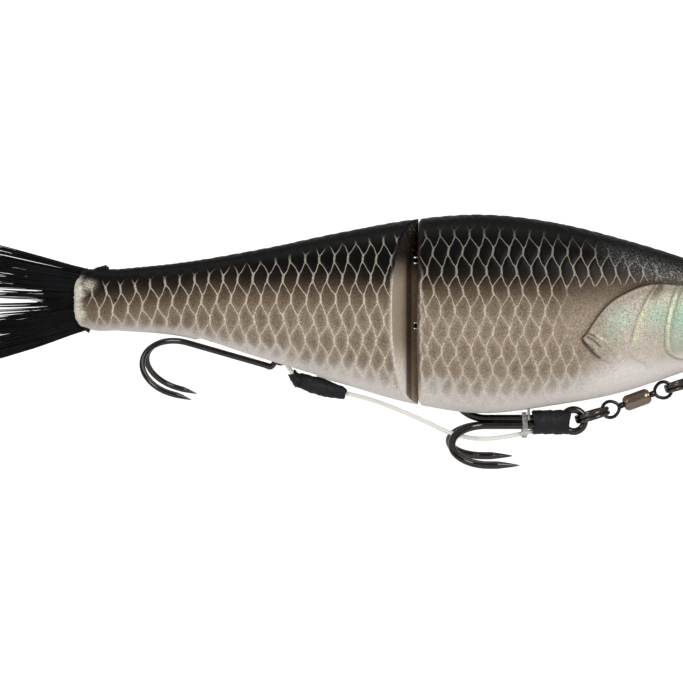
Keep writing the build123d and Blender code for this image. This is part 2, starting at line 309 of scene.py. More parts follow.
def makeHandling():
    # what handling leaves on metal and plastic: smears in the gloss and fine scratches
    group, given, result = newGroup("handlingMarks", [("Place", vector, None), ("Scale", number, 400.0),
                                    ("Low", number, 0.2), ("High", number, 0.4)],
                                    [("Roughness", number), ("Height", number), ("Mask", number)])
    smear = noiseOf(group, given["Place"], given["Scale"], 4.0, 0.6)
    spread = addNode(group, "ShaderNodeMapRange", {"Value": smear, "From Min": 0.3, "From Max": 0.7,
                     "To Min": given["Low"], "To Max": given["High"]}).outputs[0]
    stretched = addNode(group, "ShaderNodeMapping",
                        {"Vector": given["Place"], "Scale": (0.25, 1, 1)}).outputs[0]
    scratch = noiseOf(group, stretched, calc(group, "MULTIPLY", given["Scale"], 9.0), 2.0, 0.6)
    group.links.new(spread, result["Roughness"])
    group.links.new(scratch, result["Height"])
    group.links.new(smear, result["Mask"])
    return group


def makeScaleNet():
    # tall six-sided cells in rows, each row half a cell along from the next; all lengths in millimetres
    group, given, result = newGroup(
        "scaleNet", [("Along", number, 0.0), ("Around", number, 0.0), ("Pitch", number, 3.72),
                     ("Row", number, 5.2), ("Edge", number, 2.0), ("Bow", number, 0.05),
                     ("Upright Line", number, 0.24), ("Slanted Line", number, 0.12)],
        [("Line", number), ("Centre", number), ("Tone", number)])
    row = calc(group, "DIVIDE", given["Around"], given["Row"])
    base = calc(group, "FLOOR", row)
    odd = calc(group, "ABSOLUTE", calc(group, "MODULO", base, 2.0))
    above = calc(group, "MULTIPLY", calc(group, "SUBTRACT", row, base), given["Row"])
    place = calc(group, "ADD", calc(group, "DIVIDE", given["Along"], given["Pitch"]),
                 calc(group, "MULTIPLY", odd, 0.5))
    column = calc(group, "ROUND", place)
    t = calc(group, "MULTIPLY", calc(group, "ABSOLUTE", calc(group, "SUBTRACT", place, column)), 2.0)
    slant = calc(group, "SUBTRACT", given["Row"], given["Edge"])
    bowed = calc(group, "MULTIPLY", calc(group, "SINE", calc(group, "MULTIPLY", t, 2 * math.pi)),
                 given["Bow"])
    reach = calc(group, "ADD", calc(group, "SUBTRACT", 1.0, t), bowed)
    border = calc(group, "MULTIPLY_ADD", slant, reach, calc(group, "MULTIPLY", given["Edge"], 0.5))
    gap = calc(group, "SUBTRACT", border, above)
    upper = calc(group, "LESS_THAN", gap, 0.0)
    half = calc(group, "MULTIPLY", given["Pitch"], 0.5)
    lean = calc(group, "DIVIDE", half, calc(group, "SQRT", calc(group, "ADD", calc(group, "POWER", half, 2.0),
                calc(group, "POWER", slant, 2.0))))
    toSlant = calc(group, "MULTIPLY", calc(group, "ABSOLUTE", gap), lean)
    mixT = calc(group, "ABSOLUTE", calc(group, "SUBTRACT", upper, t))        # t in the cell's own row
    toUpright = calc(group, "MULTIPLY", calc(group, "SUBTRACT", 1.0, mixT), half)
    nearLine = calc(group, "SMOOTH_MIN", calc(group, "DIVIDE", toSlant, given["Slanted Line"]),
                    calc(group, "DIVIDE", toUpright, given["Upright Line"]), 0.9)
    line = fit(group, nearLine, 0.55, 1.5, 1.0, 0.0)
    centre = fit(group, calc(group, "MINIMUM", toSlant, toUpright), 0.2, 1.3)
    whiteVector = addNode(group, "ShaderNodeCombineXYZ", {
        "X": calc(group, "ADD", column, calc(group, "MULTIPLY", upper, 0.37)),
        "Y": calc(group, "ADD", base, upper)}).outputs[0]
    tone = addNode(group, "ShaderNodeTexWhiteNoise", {"Vector": whiteVector}).outputs["Value"]
    group.links.new(line, result["Line"])
    group.links.new(centre, result["Centre"])
    group.links.new(tone, result["Tone"])
    return group


speckleGroup, handlingGroup, netGroup = makeSpeckle(), makeHandling(), makeScaleNet()


# Materials
def metalMaterial(name, base, low, high, tint=None, scale=400.0):
    material, tree, shader = newMaterial(name, {"Metallic": 1.0})
    marks = useGroup(tree, handlingGroup, {"Place": objectPlace(tree), "Scale": scale, "Low": low,
                                           "High": high})
    tree.links.new(mixColor(tree, marks["Mask"], base, tint or base), shader.inputs["Base Color"])
    tree.links.new(marks["Roughness"], shader.inputs["Roughness"])
    bumpOn(tree, shader, marks["Height"], 0.00002, 0.5)
    return material


def plasticMaterial(name, base, tint, low, high, dotScale=1500.0, grain=0.00003, gloss=0.3):
    material, tree, shader = newMaterial(name, {"Specular IOR Level": gloss})
    place = objectPlace(tree)
    spray = useGroup(tree, speckleGroup, {"Place": place, "Dot Scale": dotScale,
                                          "Drift Scale": dotScale / 20})
    marks = useGroup(tree, handlingGroup, {"Place": place, "Scale": dotScale / 4, "Low": low, "High": high})
    mixed = mixColor(tree, fit(tree, spray["Drift"], 0.35, 0.65), base, tint)
    tree.links.new(mixed, shader.inputs["Base Color"])
    tree.links.new(marks["Roughness"], shader.inputs["Roughness"])
    bumpOn(tree, shader, spray["Dots"], grain)
    return material


blackNickel = metalMaterial("blackNickel", paint(62, 60, 59), 0.08, 0.18, paint(80, 77, 76))
ringSteel = metalMaterial("ringSteel", paint(96, 91, 88), 0.12, 0.25, paint(76, 72, 69))
swivelSteel = metalMaterial("swivelEyeSteel", paint(66, 62, 60), 0.12, 0.25, paint(52, 49, 47))
hingeSteel = metalMaterial("hingeSteel", paint(52, 44, 37), 0.5, 0.62, paint(44, 37, 31))
stainless = metalMaterial("stainlessWire", paint(196, 192, 186), 0.16, 0.3, paint(178, 172, 166))
gunMetal = metalMaterial("gunMetalSwivel", paint(150, 134, 118), 0.16, 0.28, paint(124, 110, 96), scale=700)
leadAlloy = metalMaterial("leadWeight", paint(120, 122, 126), 0.45, 0.65, paint(96, 98, 100))
magnetPlate = metalMaterial("magnetNickel", paint(196, 192, 184), 0.12, 0.25)
insideResin = plasticMaterial("insideResin", paint(214, 208, 196), paint(202, 196, 184), 0.45, 0.6)
sleeveRubber = plasticMaterial("shrinkSleeve", paint(33, 33, 36), paint(24, 24, 26), 0.42, 0.62, 2500.0,
                               0.00005, 0.25)
rootResin = plasticMaterial("tailRootResin", paint(12, 12, 13), paint(20, 20, 21), 0.35, 0.5, 1800.0,
                            0.00006, 0.2)
bristleNylon = plasticMaterial("bristleNylon", paint(9, 10, 11), paint(16, 17, 19), 0.36, 0.5, 3000.0,
                               0.00001, 0.12)


def makeBodyPaint():
    material, tree, shader = newMaterial("bodyPaint", {"Specular IOR Level": 0.06, "Coat Weight": 0.06,
                                                       "Coat Roughness": 0.28})
    place = objectPlace(tree)
    split = addNode(tree, "ShaderNodeSeparateXYZ", {"Vector": place}).outputs
    height = calc(tree, "MULTIPLY", split["Z"], 1000.0)
    spray = useGroup(tree, speckleGroup, {"Place": place, "Dot Scale": 2600.0, "Drift Scale": 70.0})
    wander = calc(tree, "MULTIPLY", calc(tree, "SUBTRACT", spray["Drift"], 0.5), 4.0)
    level = calc(tree, "ADD", calc(tree, "ADD", height, wander), attribute(tree, "darkShift"))
    net = useGroup(tree, netGroup, {"Along": attribute(tree, "netAlong"),
                                    "Around": attribute(tree, "netAround"),
                                    "Row": attribute(tree, "netRow")})
    belly = attribute(tree, "bellyShare")
    bellyWander = calc(tree, "MULTIPLY_ADD", calc(tree, "SUBTRACT", spray["Drift"], 0.5), 0.12, belly)
    flank = mixColor(tree, fit(tree, bellyWander, 0.0, 0.24), paint(228, 221, 214), paint(158, 142, 125))
    flank = mixColor(tree, fit(tree, level, -3.0, 9.0), flank, paint(112, 96, 79))
    tone = calc(tree, "MULTIPLY_ADD", net["Tone"], 0.24, 0.36)
    cell = calc(tree, "MULTIPLY", net["Centre"], calc(tree, "MULTIPLY", attribute(tree, "netFade"), tone))
    flank = mixColor(tree, cell, flank, paint(96, 79, 62))
    back = mixColor(tree, fit(tree, level, 3.4, 12.0), flank, paint(38, 28, 20))
    back = mixColor(tree, fit(tree, level, 8.0, 15.0), back, paint(6, 5, 4))
    head = attribute(tree, "headPearl")
    pearl = mixColor(tree, fit(tree, spray["Drift"], 0.4, 0.6), paint(184, 178, 160), paint(206, 193, 180))
    body = mixColor(tree, head, back, pearl)
    body = mixColor(tree, attribute(tree, "mint"), body, paint(172, 204, 182))
    # painted highlight: pale yellow-green light on the nose side of the gill ridge and the cheek crest
    body = mixColor(tree, attribute(tree, "ridgeHighlight"), body, paint(220, 221, 190))
    lineStrength = calc(tree, "MULTIPLY", net["Line"], attribute(tree, "netFade"))
    dim = fit(tree, level, 4.0, 17.0, 0.7, 0.4)
    body = mixColor(tree, calc(tree, "MULTIPLY", lineStrength, dim), body, paint(214, 203, 187))
    body = mixColor(tree, attribute(tree, "shade"), body, paint(40, 28, 18))
    body = mixColor(tree, attribute(tree, "wear"), body, paint(222, 214, 200))
    # painted sheen: a grey band of reflected light high on the head, with bright speckles in it
    headSheen = calc(tree, "MULTIPLY", fit(tree, spray["Dots"], 0.5, 0.78), attribute(tree, "headSheen"))
    body = mixColor(tree, calc(tree, "MULTIPLY", attribute(tree, "headSheen"), 0.3), body, paint(112, 113, 114))
    body = mixColor(tree, headSheen, body, paint(186, 187, 187))
    grain = fit(tree, spray["Dots"], 0.28, 0.72, 0.62, 1.42)
    grain = calc(tree, "MULTIPLY_ADD", calc(tree, "SUBTRACT", grain, 1.0),
                 fit(tree, bellyWander, 0.0, 0.3, 0.3, 1.0), 1.0)
    body = mixColor(tree, 1.0, body, addNode(tree, "ShaderNodeCombineXYZ",
                    {0: grain, 1: grain, 2: grain}).outputs[0], "MULTIPLY")
    tree.links.new(body, shader.inputs["Base Color"])
    tree.links.new(fit(tree, spray["Drift"], 0.3, 0.7, 0.36, 0.5), shader.inputs["Roughness"])
    tree.links.new(calc(tree, "MULTIPLY", attribute(tree, "headPearl"), 0.35), shader.inputs["Metallic"])
    rise = calc(tree, "MULTIPLY_ADD", lineStrength, 0.35, calc(tree, "MULTIPLY", spray["Dots"], 0.4))
    bumpOn(tree, shader, rise, 0.00008, 0.6)
    return material


def makeBevelPaint():
    # smooth faces inside the joint: taupe beside the flank, a painted shadow in the gap, dark at the back,
    # and paler towards the bottom, partly painted light
    material, tree, shader = newMaterial("jointFacePaint", {"Coat Weight": 0.3, "Coat Roughness": 0.2})
    place = objectPlace(tree)
    split = addNode(tree, "ShaderNodeSeparateXYZ", {"Vector": place}).outputs
    spray = useGroup(tree, speckleGroup, {"Place": place, "Dot Scale": 2200.0, "Drift Scale": 90.0})
    height = calc(tree, "MULTIPLY", split["Z"], 1000.0)
    side = calc(tree, "MULTIPLY", calc(tree, "ABSOLUTE", split["Y"]), 1000.0)
    # paler towards the bottom, partly painted light brightening these shaded faces
    tone = mixColor(tree, fit(tree, height, -16.0, -4.0), paint(244, 234, 226), paint(182, 166, 147))
    # painted shadow: dark brown across the faces deep in the gap, where they turn away from the light
    tone = mixColor(tree, fit(tree, side, 5.5, 6.5, 0.9, 0.0), tone, paint(84, 68, 52))
    tone = mixColor(tree, fit(tree, side, 3.2, 4.2, 0.9, 0.0), tone, paint(206, 184, 158))
    tone = mixColor(tree, fit(tree, height, 8.0, 17.0), tone, paint(34, 28, 22))
    tone = mixColor(tree, fit(tree, spray["Dots"], 0.4, 0.75, 0.0, 0.3), tone, paint(90, 78, 64))
    glint = calc(tree, "MULTIPLY", fit(tree, spray["Dots"], 0.64, 0.70), fit(tree, side, 4.6, 5.4, 1.0, 0.0))
    tone = mixColor(tree, glint, tone, paint(235, 232, 226))
    tree.links.new(tone, shader.inputs["Base Color"])
    tree.links.new(fit(tree, spray["Drift"], 0.3, 0.7, 0.34, 0.5), shader.inputs["Roughness"])
    bumpOn(tree, shader, spray["Dots"], 0.00006)
    return material


def makeCordMaterial():
    material, tree, shader = newMaterial("cordBraid", {"Sheen Weight": 0.3, "Roughness": 0.75})
    grooveShade = attribute(tree, "braidGrooveShade")
    fibre = noiseOf(tree, objectPlace(tree), 6000.0, 2.0)
    # painted shade: the grooves between the braid's strands are darker
    tone = mixColor(tree, grooveShade, paint(252, 250, 245), paint(232, 227, 216))
    tone = mixColor(tree, fit(tree, fibre, 0.5, 0.8, 0.0, 0.35), tone, paint(220, 210, 192))
    tree.links.new(tone, shader.inputs["Base Color"])
    bumpOn(tree, shader, fibre, 0.00005)
    return material


def makeBandMaterial():
    material, tree, shader = newMaterial("bandSilicone", {"Transmission Weight": 0.75, "IOR": 1.41,
                                                          "Coat Weight": 0.2})
    haze = noiseOf(tree, objectPlace(tree), 900.0, 3.0)
    tree.links.new(mixColor(tree, haze, paint(240, 240, 238), paint(222, 220, 214)),
                   shader.inputs["Base Color"])
    tree.links.new(fit(tree, haze, 0.3, 0.7, 0.12, 0.3), shader.inputs["Roughness"])
    bumpOn(tree, shader, haze, 0.00005)
    return material


def makeLensMaterial():
    material, tree, shader = newMaterial("eyeLensEpoxy", {"Transmission Weight": 1.0, "IOR": 1.5})
    haze = noiseOf(tree, objectPlace(tree), 300.0, 3.0)
    tree.links.new(mixColor(tree, haze, paint(255, 255, 255), paint(248, 248, 244)),
                   shader.inputs["Base Color"])
    tree.links.new(fit(tree, haze, 0.3, 0.7, 0.02, 0.07), shader.inputs["Roughness"])
    return material


def makeIrisMaterial():
    material, tree, shader = newMaterial("irisFoil", {"Metallic": 0.7, "Coat Weight": 0.5})
    spoke = attribute(tree, "irisSpoke")
    ring = attribute(tree, "irisRadius")
    flake = noiseOf(tree, objectPlace(tree), 2500.0, 3.0, 0.7)
    tone = mixColor(tree, spoke, paint(214, 190, 122), paint(168, 132, 66))
    tone = mixColor(tree, fit(tree, ring, 0.68, 0.98), tone, paint(92, 66, 36))
    tone = mixColor(tree, fit(tree, flake, 0.5, 0.7, 0.0, 0.45), tone, paint(244, 232, 196))
    tone = mixColor(tree, fit(tree, ring, 0.44, 0.47, 1.0, 0.0), tone, paint(6, 6, 7))
    tree.links.new(tone, shader.inputs["Base Color"])
    tree.links.new(fit(tree, flake, 0.3, 0.7, 0.25, 0.42), shader.inputs["Roughness"])
    bumpOn(tree, shader, calc(tree, "ADD", flake, spoke), 0.00004)
    return material


bodyPaint, jointPaint = makeBodyPaint(), makeBevelPaint()
cordBraid, bandSilicone = makeCordMaterial(), makeBandMaterial()
eyeEpoxy, irisFoil = makeLensMaterial(), makeIrisMaterial()
print("materials:", len(bpy.data.materials))


# Cord: from the front sleeve, under the joint, to the rear sleeve
cord = {"diameter": 1.15, "length": 51.4, "sides": 16, "step": 0.11, "strands": 4, "layLength": 3.4,
        "strandRise": 0.11, "bendsFrom": -100.0, "bendsTo": -113.0,
        "route": [(-74.5, -29.45), (-80.6, -30.85), (-88.6, -31.7), (-95.6, -30.3), (-103.4, -26.5),
                  (-111.6, -23.0), (-118.2, -20.7), (-123.5, -19.5)]}


def splinePoints(name, route):
    curve = bpy.data.curves.new(name, "CURVE")
    curve.dimensions = "3D"
    curve.resolution_u = 24
    spline = curve.splines.new("NURBS")
    spline.points.add(len(route) - 1)
    for point, (x, z) in zip(spline.points, route):
        point.co = (x * mm, 0, z * mm, 1)
    spline.order_u = 3
    spline.use_endpoint_u = True
    holder = addObject(name, curve)
    line = bpy.data.meshes.new_from_object(holder)
    points = meshPoints(line)
    bpy.data.objects.remove(holder)
    return points


def makeCord():
    path = evenPath(splinePoints("cordRoute", cord["route"]), cord["step"])
    turn = np.linspace(0, 2 * math.pi, cord["sides"], endpoint=False)
    along = np.arange(len(path))[:, None] * cord["step"] * 2 * math.pi / cord["layLength"]
    one = np.cos(cord["strands"] * turn[None, :] + cord["strands"] * along)
    other = np.cos(cord["strands"] * turn[None, :] - cord["strands"] * along)
    weave = np.maximum(one, other)
    radius = cord["diameter"] / 2 - cord["strandRise"] / 2 + weave * cord["strandRise"] / 2
    points, faces = tubeParts(path, radius, cord["sides"])
    piece = meshFrom("assistCord", points, faces, [cordBraid])
    # painted shade mask: where the weave dips between strands
    grooveShade = np.concatenate([smoothStep(-weave, -0.75, 0.2).reshape(-1), [0, 0]])
    setAttribute(piece.data, "braidGrooveShade", grooveShade)
    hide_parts("assist_cord")
    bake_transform(piece)


makeCord()
print("cord done")


# Body: four half shells with scales, gill covers and joint faces
body = {"fullness": 2.3, "wall": 2.0, "hinge": -106.6, "gridStep": 0.37, "around": 166,
        "stations": [(-4.6, 0.9, -1.0, 1.0), (-9, 3.6, -3.3, 3.3), (-17, 8, -6.6, 5.7),
                     (-27, 12.5, -10.8, 7.9),
                     (-38, 16.5, -14.9, 10), (-52, 20.7, -19.4, 12), (-70, 25, -22.8, 13.3),
                     (-88, 26.9, -24.8, 13.8), (-106.6, 25.5, -22.1, 13.2), (-125, 22.2, -16.9, 11.1),
                     (-145.6, 17.9, -10.8, 8.9), (-166.4, 14.4, -4.7, 6.8), (-182, 12.8, -3.3, 5.6),
                     (-190.5, 12, -2.6, 4.6), (-192.6, 10.6, -1.4, 3.9), (-193.5, 8.9, 0.3, 2.9),
                     (-193.9, 6.6, 2.6, 1.6)],
        "scaleRise": 0.10}
hollows = {"front": {"ends": (-15.5, -98.5), "cores": [(-66, -104, -3.2, -60), (-90, -104, 30, -6.5)]},
           "rear": {"ends": (-127.5, -182), "cores": [(-126, -166, -2.6, -60)]}}
joint = {"rearRadius": 2.2, "rearAngle": 31.3, "frontRadius": 2.7, "frontAngle": 5.2, "edgeRound": 0.7,
         "kerfs": (-2.0, 15.0), "kerfHalf": 0.9, "kerfRadius": 2.8}
scales = {"front": {"pitch": 3.72, "row": 5.17, "level": 2.2},
          "rear": {"pitch": 3.72, "row": 5.35, "level": -0.2},
          "edge": 2.0, "bow": 0.05}
gill = {"coverBack": [(-35.6, 8.7), (-44.7, 9.1), (-51.6, 6.8), (-56.9, 3.1), (-61.6, -3.4), (-62.5, -5.5),
                      (-58.0, -10.1), (-50.0, -12.9), (-41.0, -13.2), (-32.0, -10.8), (-24.0, -7.6)],
        "innerRidge": [(-43.9, 8.6), (-46.3, 4.8), (-48.9, -1.0), (-50.2, -6.8), (-49.9, -9.1),
                       (-46.0, -11.0)],
        "cheek": [(-34.0, 9.0), (-38.0, 8.6), (-39.7, 4.8), (-41.0, -1.0), (-41.3, -5.7), (-40.3, -8.8),
                  (-35.6, -10.3), (-27.0, -8.0), (-21.0, -4.5)],
        "finRidge": [(-61.6, -3.4), (-57.5, -5.6), (-52.9, -10.1)],
        "fold": [(-62.0, -5.2), (-58.5, -8.0), (-55.2, -11.0)],
        "mouth": [(-4.0, -0.5), (-8.0, -1.6), (-13.0, -3.3), (-19.5, -5.7)], "nostril": (-12.5, 3.4),
        "coverRise": 0.55, "cheekRise": 0.35, "ridgeRise": 0.6}

headPaint = {"strokes": [[(-61.6, -4.4), (-59.6, -5.6), (-58.2, -6.9)], [(-62.2, -5.9), (-59.9, -7.9)],
                         [(-60.6, -7.9), (-58.2, -9.9)], [(-60.9, -3.6), (-59.4, -4.4)]],
             "mint": [(-52.5, 0.2, 3.3, 0.5), (-44.2, 0.8, 3.0, 0.62), (-54.5, -1.8, 2.4, 0.3),
                      (-36.5, 0.0, 5.2, 0.85), (-38.0, -4.5, 3.2, 0.5), (-28.0, -3.0, 4.0, 0.5)],
             "scar": (-53.2, -9.8)}     # x, z; mint patches also have a size and a strength
tailPaint = {"patch": (-189.9, 8.6), "pit": (-182.8, 4.7)}

def profileAt(x):
    # back, belly and half width at x, smooth through the stations
    table = np.array(sorted(body["stations"]), float)
    xs = table[:, 0]
    x = np.atleast_1d(np.asarray(x, float))
    found = []
    i = np.clip(np.searchsorted(xs, x) - 1, 0, len(xs) - 2)
    step = xs[i + 1] - xs[i]
    t = (x - xs[i]) / step
    for values in table[:, 1:].T:
        slope = np.gradient(values, xs)
        a, b = values[i], values[i + 1]
        sa, sb = slope[i] * step, slope[i + 1] * step
        found.append((2 * t**3 - 3 * t**2 + 1) * a + (t**3 - 2 * t**2 + t) * sa
                     + (3 * t**2 - 2 * t**3) * b + (t**3 - t**2) * sb)
    return found


sectionTurn = np.radians(np.linspace(-90, 90, 721))
sectionSide = np.cos(sectionTurn).clip(0) ** (2 / body["fullness"])
sectionLift = np.sign(sectionTurn) * np.abs(np.sin(sectionTurn)) ** (2 / body["fullness"])


def sectionGrid(xs, around, inset=0.0):
    # evenly spaced points round the left half of each cross-section, and their distance up from the widest
    # point
    top, bottom, half = profileAt(xs)
    points, lengths = [], []
    for x, t, b, w in zip(xs, top - inset, bottom + inset, half - inset):
        y, z = w * sectionSide, (t + b) / 2 + (t - b) / 2 * sectionLift
        along = np.concatenate([[0], np.cumsum(np.hypot(np.diff(y), np.diff(z)))])
        places = np.linspace(0, along[-1], around)
        points.append(np.stack([np.full(around, x), np.interp(places, along, y),
                                np.interp(places, along, z)], -1))
        lengths.append(places - along[len(along) // 2])
    return np.array(points), np.array(lengths)


def bodyPlace(x, y, z):
    # distance round the section from its widest point, for points near the body's surface
    top, bottom, half = profileAt(x)
    middle, rise = (top + bottom) / 2, (top - bottom) / 2
    n = body["fullness"] / 2
    up = (np.abs(z - middle) / rise) ** n
    out = (np.abs(y) / half) ** n
    turn = np.degrees(np.arctan2(up, out))
    shares = np.linspace(0, 90, 91)
    arc = np.zeros((24, len(shares)))
    ratios = np.linspace(0.6, 2.6, 24)
    side, lift = np.cos(np.radians(shares)).clip(0) ** (1 / n), np.sin(np.radians(shares)) ** (1 / n)
    for i, ratio in enumerate(ratios):
        arc[i, 1:] = np.cumsum(np.hypot(np.diff(side), ratio * np.diff(lift)))
    place = np.clip((rise / half - ratios[0]) / (ratios[1] - ratios[0]), 0, len(ratios) - 1.001)
    low = place.astype(int)
    part = place - low
    at = np.clip(turn, 0, 89.999)
    cell = at.astype(int)
    share = at - cell
    lower = arc[low, cell] * (1 - share) + arc[low, cell + 1] * share
    upper = arc[low + 1, cell] * (1 - share) + arc[low + 1, cell + 1] * share
    return middle, (lower * (1 - part) + upper * part) * half * np.sign(z - middle)


def netPlace(section, x, middle, distance):
    plan = scales[section]
    level = middle + distance
    if section == "rear":
        level = level + 3.6 * smoothStep(-x, 160, 190) + 0.8 * smoothStep(x, -117, -108)
    around = level - plan["level"]
    along = x + 0.22 * np.sin(around * 0.9 + x * 0.05) + 0.35 * np.sin(x * 0.11)
    along = along + 0.10 * np.sin(x * 0.83 - around * 0.6) + 1.3 * smoothStep(-x, 160, 185)
    around = around + 0.16 * np.sin(x * 0.47 + around * 0.35) + 0.07 * np.sin(x * 1.1 + around * 0.7)
    return along, around


def cellDepth(section, along, around):
    # distance in from the edge of the scale that a point is in
    plan, edge = scales[section], scales["edge"]
    row = around / plan["row"]
    base = np.floor(row)
    above = (row - base) * plan["row"]
    place = along / plan["pitch"] + 0.5 * np.abs(np.mod(base, 2))
    t = np.abs(place - np.round(place)) * 2
    slant = plan["row"] - edge
    gap = edge / 2 + slant * (1 - t + scales["bow"] * np.sin(2 * math.pi * t)) - above
    own = np.where(gap < 0, 1 - t, t)
    half = plan["pitch"] / 2
    return np.minimum(np.abs(gap) * half / math.hypot(half, slant), (1 - own) * half)


def netReach(section, x, z):
    # how far the painted net and the raised scales carry: (paint, relief)
    top, bottom, _ = profileAt(x)
    low = (z - bottom) / (top - bottom)
    paintEnd = smoothStep(low, 0.02, 0.16)
    reliefEnd = smoothStep(low, 0.0, 0.1)
    if section == "front":
        limit = 66 - 27 * smoothStep(z, 7.5, 10.5) - 5.5 * smoothStep(-z, 5, 8)
        ahead = smoothStep(-x, limit - 3, limit + 6)
        return 0.8 * paintEnd * ahead * smoothStep(top - z, 2.0, 8.0), reliefEnd * ahead
    back = 1 - smoothStep(-x, 188, 192)
    return paintEnd * back * smoothStep(top - z, 2.6, 4.8), reliefEnd * back


def behindFace(section, x, y):
    # depth into a section from its flat face in the joint
    turn = math.radians(joint[section + "Angle"])
    ahead = (x - body["hinge"]) * math.cos(turn) + np.abs(y) * math.sin(turn) - joint[section + "Radius"]
    return ahead if section == "front" else -ahead


def coverRegions(x, z):
    cover = smoothPath(gill["coverBack"])
    cheek = smoothPath(gill["cheek"])
    coverOutline = np.vstack([cover, [(-18, -4), (-18, 6), (-30, 8.5)]])
    cheekOutline = np.vstack([cheek, [(-17, 0), (-20, 8)]])
    coverIn = np.where(insideOf(x, z, coverOutline), 1, -1) * distanceTo(x, z, cover)
    cheekIn = np.where(insideOf(x, z, cheekOutline), 1, -1) * distanceTo(x, z, cheek)
    return coverIn, cheekIn


def openEdge(x, z):
    # 1 where the gill cover stands free of the body, 0 along its lower edge, where it runs into the belly
    return 1 - smoothStep(x, -59.5, -54) * (1 - smoothStep(z, -9, -6.5))


def ridgeSide(x, z, path):
    # signed distance from a ridge that runs from top to bottom: positive towards the nose
    path = smoothPath(path)
    edge = np.interp(z, path[::-1, 1], path[::-1, 0])
    return np.sign(x - edge) * distanceTo(x, z, path)


def headRelief(x, z):
    coverIn, cheekIn = coverRegions(x, z)
    free = openEdge(x, z)
    frontFade = smoothStep(-x, 24, 36)
    plate = smoothStep(coverIn, -0.3, 0.4) * free + smoothStep(coverIn, 0, 5) * (1 - free)
    rise = gill["coverRise"] * plate * frontFade
    rise += gill["coverRise"] * 0.4 * bell(coverIn - 0.9, 0.9) * frontFade * free
    rise -= 0.35 * bell(coverIn + 0.4, 0.4) * frontFade * free
    rise += gill["cheekRise"] * smoothStep(cheekIn, -0.3, 0.4) * smoothStep(-x, 20, 30)
    rise += 0.42 * bell(cheekIn - 0.7, 0.5) * smoothStep(-x, 24, 32)
    rise -= 0.22 * bell(cheekIn - 1.9, 0.5) * smoothStep(-x, 24, 32)
    ridge = ridgeSide(x, z, gill["innerRidge"])
    rise += gill["ridgeRise"] * np.where(ridge > 0, bell(ridge, 1.5), bell(ridge, 0.42))
    fin = distanceTo(x, z, smoothPath(gill["finRidge"]))
    rise += 0.32 * bell(fin, 0.5)
    fin = distanceTo(x, z, gill["fold"])
    rise += 0.22 * bell(fin, 0.4)
    mouth = distanceTo(x, z, smoothPath(gill["mouth"]))
    rise -= 0.55 * bell(mouth, 0.45)
    rise += 0.3 * bell(mouth - 1.3, 0.8) * smoothStep(x, -24, -16)
    nostril = np.hypot((x - gill["nostril"][0]) / 0.9, (z - gill["nostril"][1]) / 0.55)
    rise -= 0.5 * np.exp(-nostril**2)
    socket = np.hypot(x - eye["centre"][0], z - eye["centre"][2])
    rise += 0.45 * bell(socket - eye["radius"] - 0.8, 0.7)
    return rise


def relief(section, points, lengths):
    x, z = points[..., 0], points[..., 2]
    middle = (profileAt(x.ravel())[0] + profileAt(x.ravel())[1]).reshape(x.shape) / 2
    along, around = netPlace(section, x, middle, lengths)
    depth = cellDepth(section, along, around)
    reach = netReach(section, x.ravel(), z.ravel())[1].reshape(x.shape)
    rise = body["scaleRise"] * (smoothStep(depth, 0.05, 1.1) - 0.75) * reach
    inward = behindFace(section, x, points[..., 1])
    r = joint["edgeRound"]
    t = np.clip((r - inward) / r, 0, 1)
    rise = rise * smoothStep(inward, 0.2, 1.4) - r * 0.8 * (1 - np.sqrt(1 - t**2 * 0.98))
    if section == "front":
        rise += headRelief(x, z)
    else:
        worn = np.sin(points[..., 1] * 5.1 + z * 2.3) * np.sin(z * 3.7 + x * 2.9)
        rise += worn * 0.16 * smoothStep(-x, 189.5, 192)
    return rise


def halfSolid(name, section, xs, side, inset=0.0, around=None, detailed=True):
    points, lengths = sectionGrid(xs, around or body["around"], inset)
    if detailed:
        normal = np.cross(np.gradient(points, axis=1), np.gradient(points, axis=0))
        normal[:, 0, 1] = normal[:, -1, 1] = 0
        normal /= np.linalg.norm(normal, axis=2)[..., None] + 1e-12
        outward = np.sign(normal[..., 1].mean()) or 1
        points = points + normal * outward * relief(section, points, lengths)[..., None]
    points[:, 0, 1] = points[:, -1, 1] = 0
    points[..., 1] *= side
    rows, columns = points.shape[:2]
    faces = gridFaces(rows, columns)
    for r in range(rows - 1):
        a, b = r * columns, (r + 1) * columns
        faces.append([a, b, b + columns - 1, a + columns - 1])
    faces.append(list(range(columns))[::-1])
    faces.append([(rows - 1) * columns + c for c in range(columns)])
    if side > 0:
        faces = [face[::-1] for face in faces]
    return meshFrom(name, points.reshape(-1, 3), faces, smooth=0)


def prism(name, outline, low, high, axis, material=None):
    # a closed block: a flat outline drawn out along one axis
    a = [index for index in range(3) if index != axis]
    points = np.zeros((2, len(outline), 3))
    points[:, :, a[0]], points[:, :, a[1]] = np.array(outline)[:, 0], np.array(outline)[:, 1]
    points[0, :, axis], points[1, :, axis] = low, high
    n = len(outline)
    faces = [list(range(n)), [n + i for i in range(n)][::-1]]
    faces += [[i, n + i, n + (i + 1) % n, (i + 1) % n] for i in range(n)]
    block = meshFrom(name, points.reshape(-1, 3), faces, [material] if material else [], smooth=0)
    turnOutward(block.data)
    return block


def turnOutward(mesh):
    work = bmesh.new()
    work.from_mesh(mesh)
    bmesh.ops.recalc_face_normals(work, faces=work.faces)
    bmesh.ops.triangulate(work, faces=work.faces)
    work.to_mesh(mesh)
    work.free()


def rodBlock(name, start, end, radius, material=None, sides=40):
    path = np.array([start, end], float)
    points, faces = tubeParts(path, radius, sides)
    block = meshFrom(name, points, faces, [material] if material else [], smooth=0)
    turnOutward(block.data)
    return block


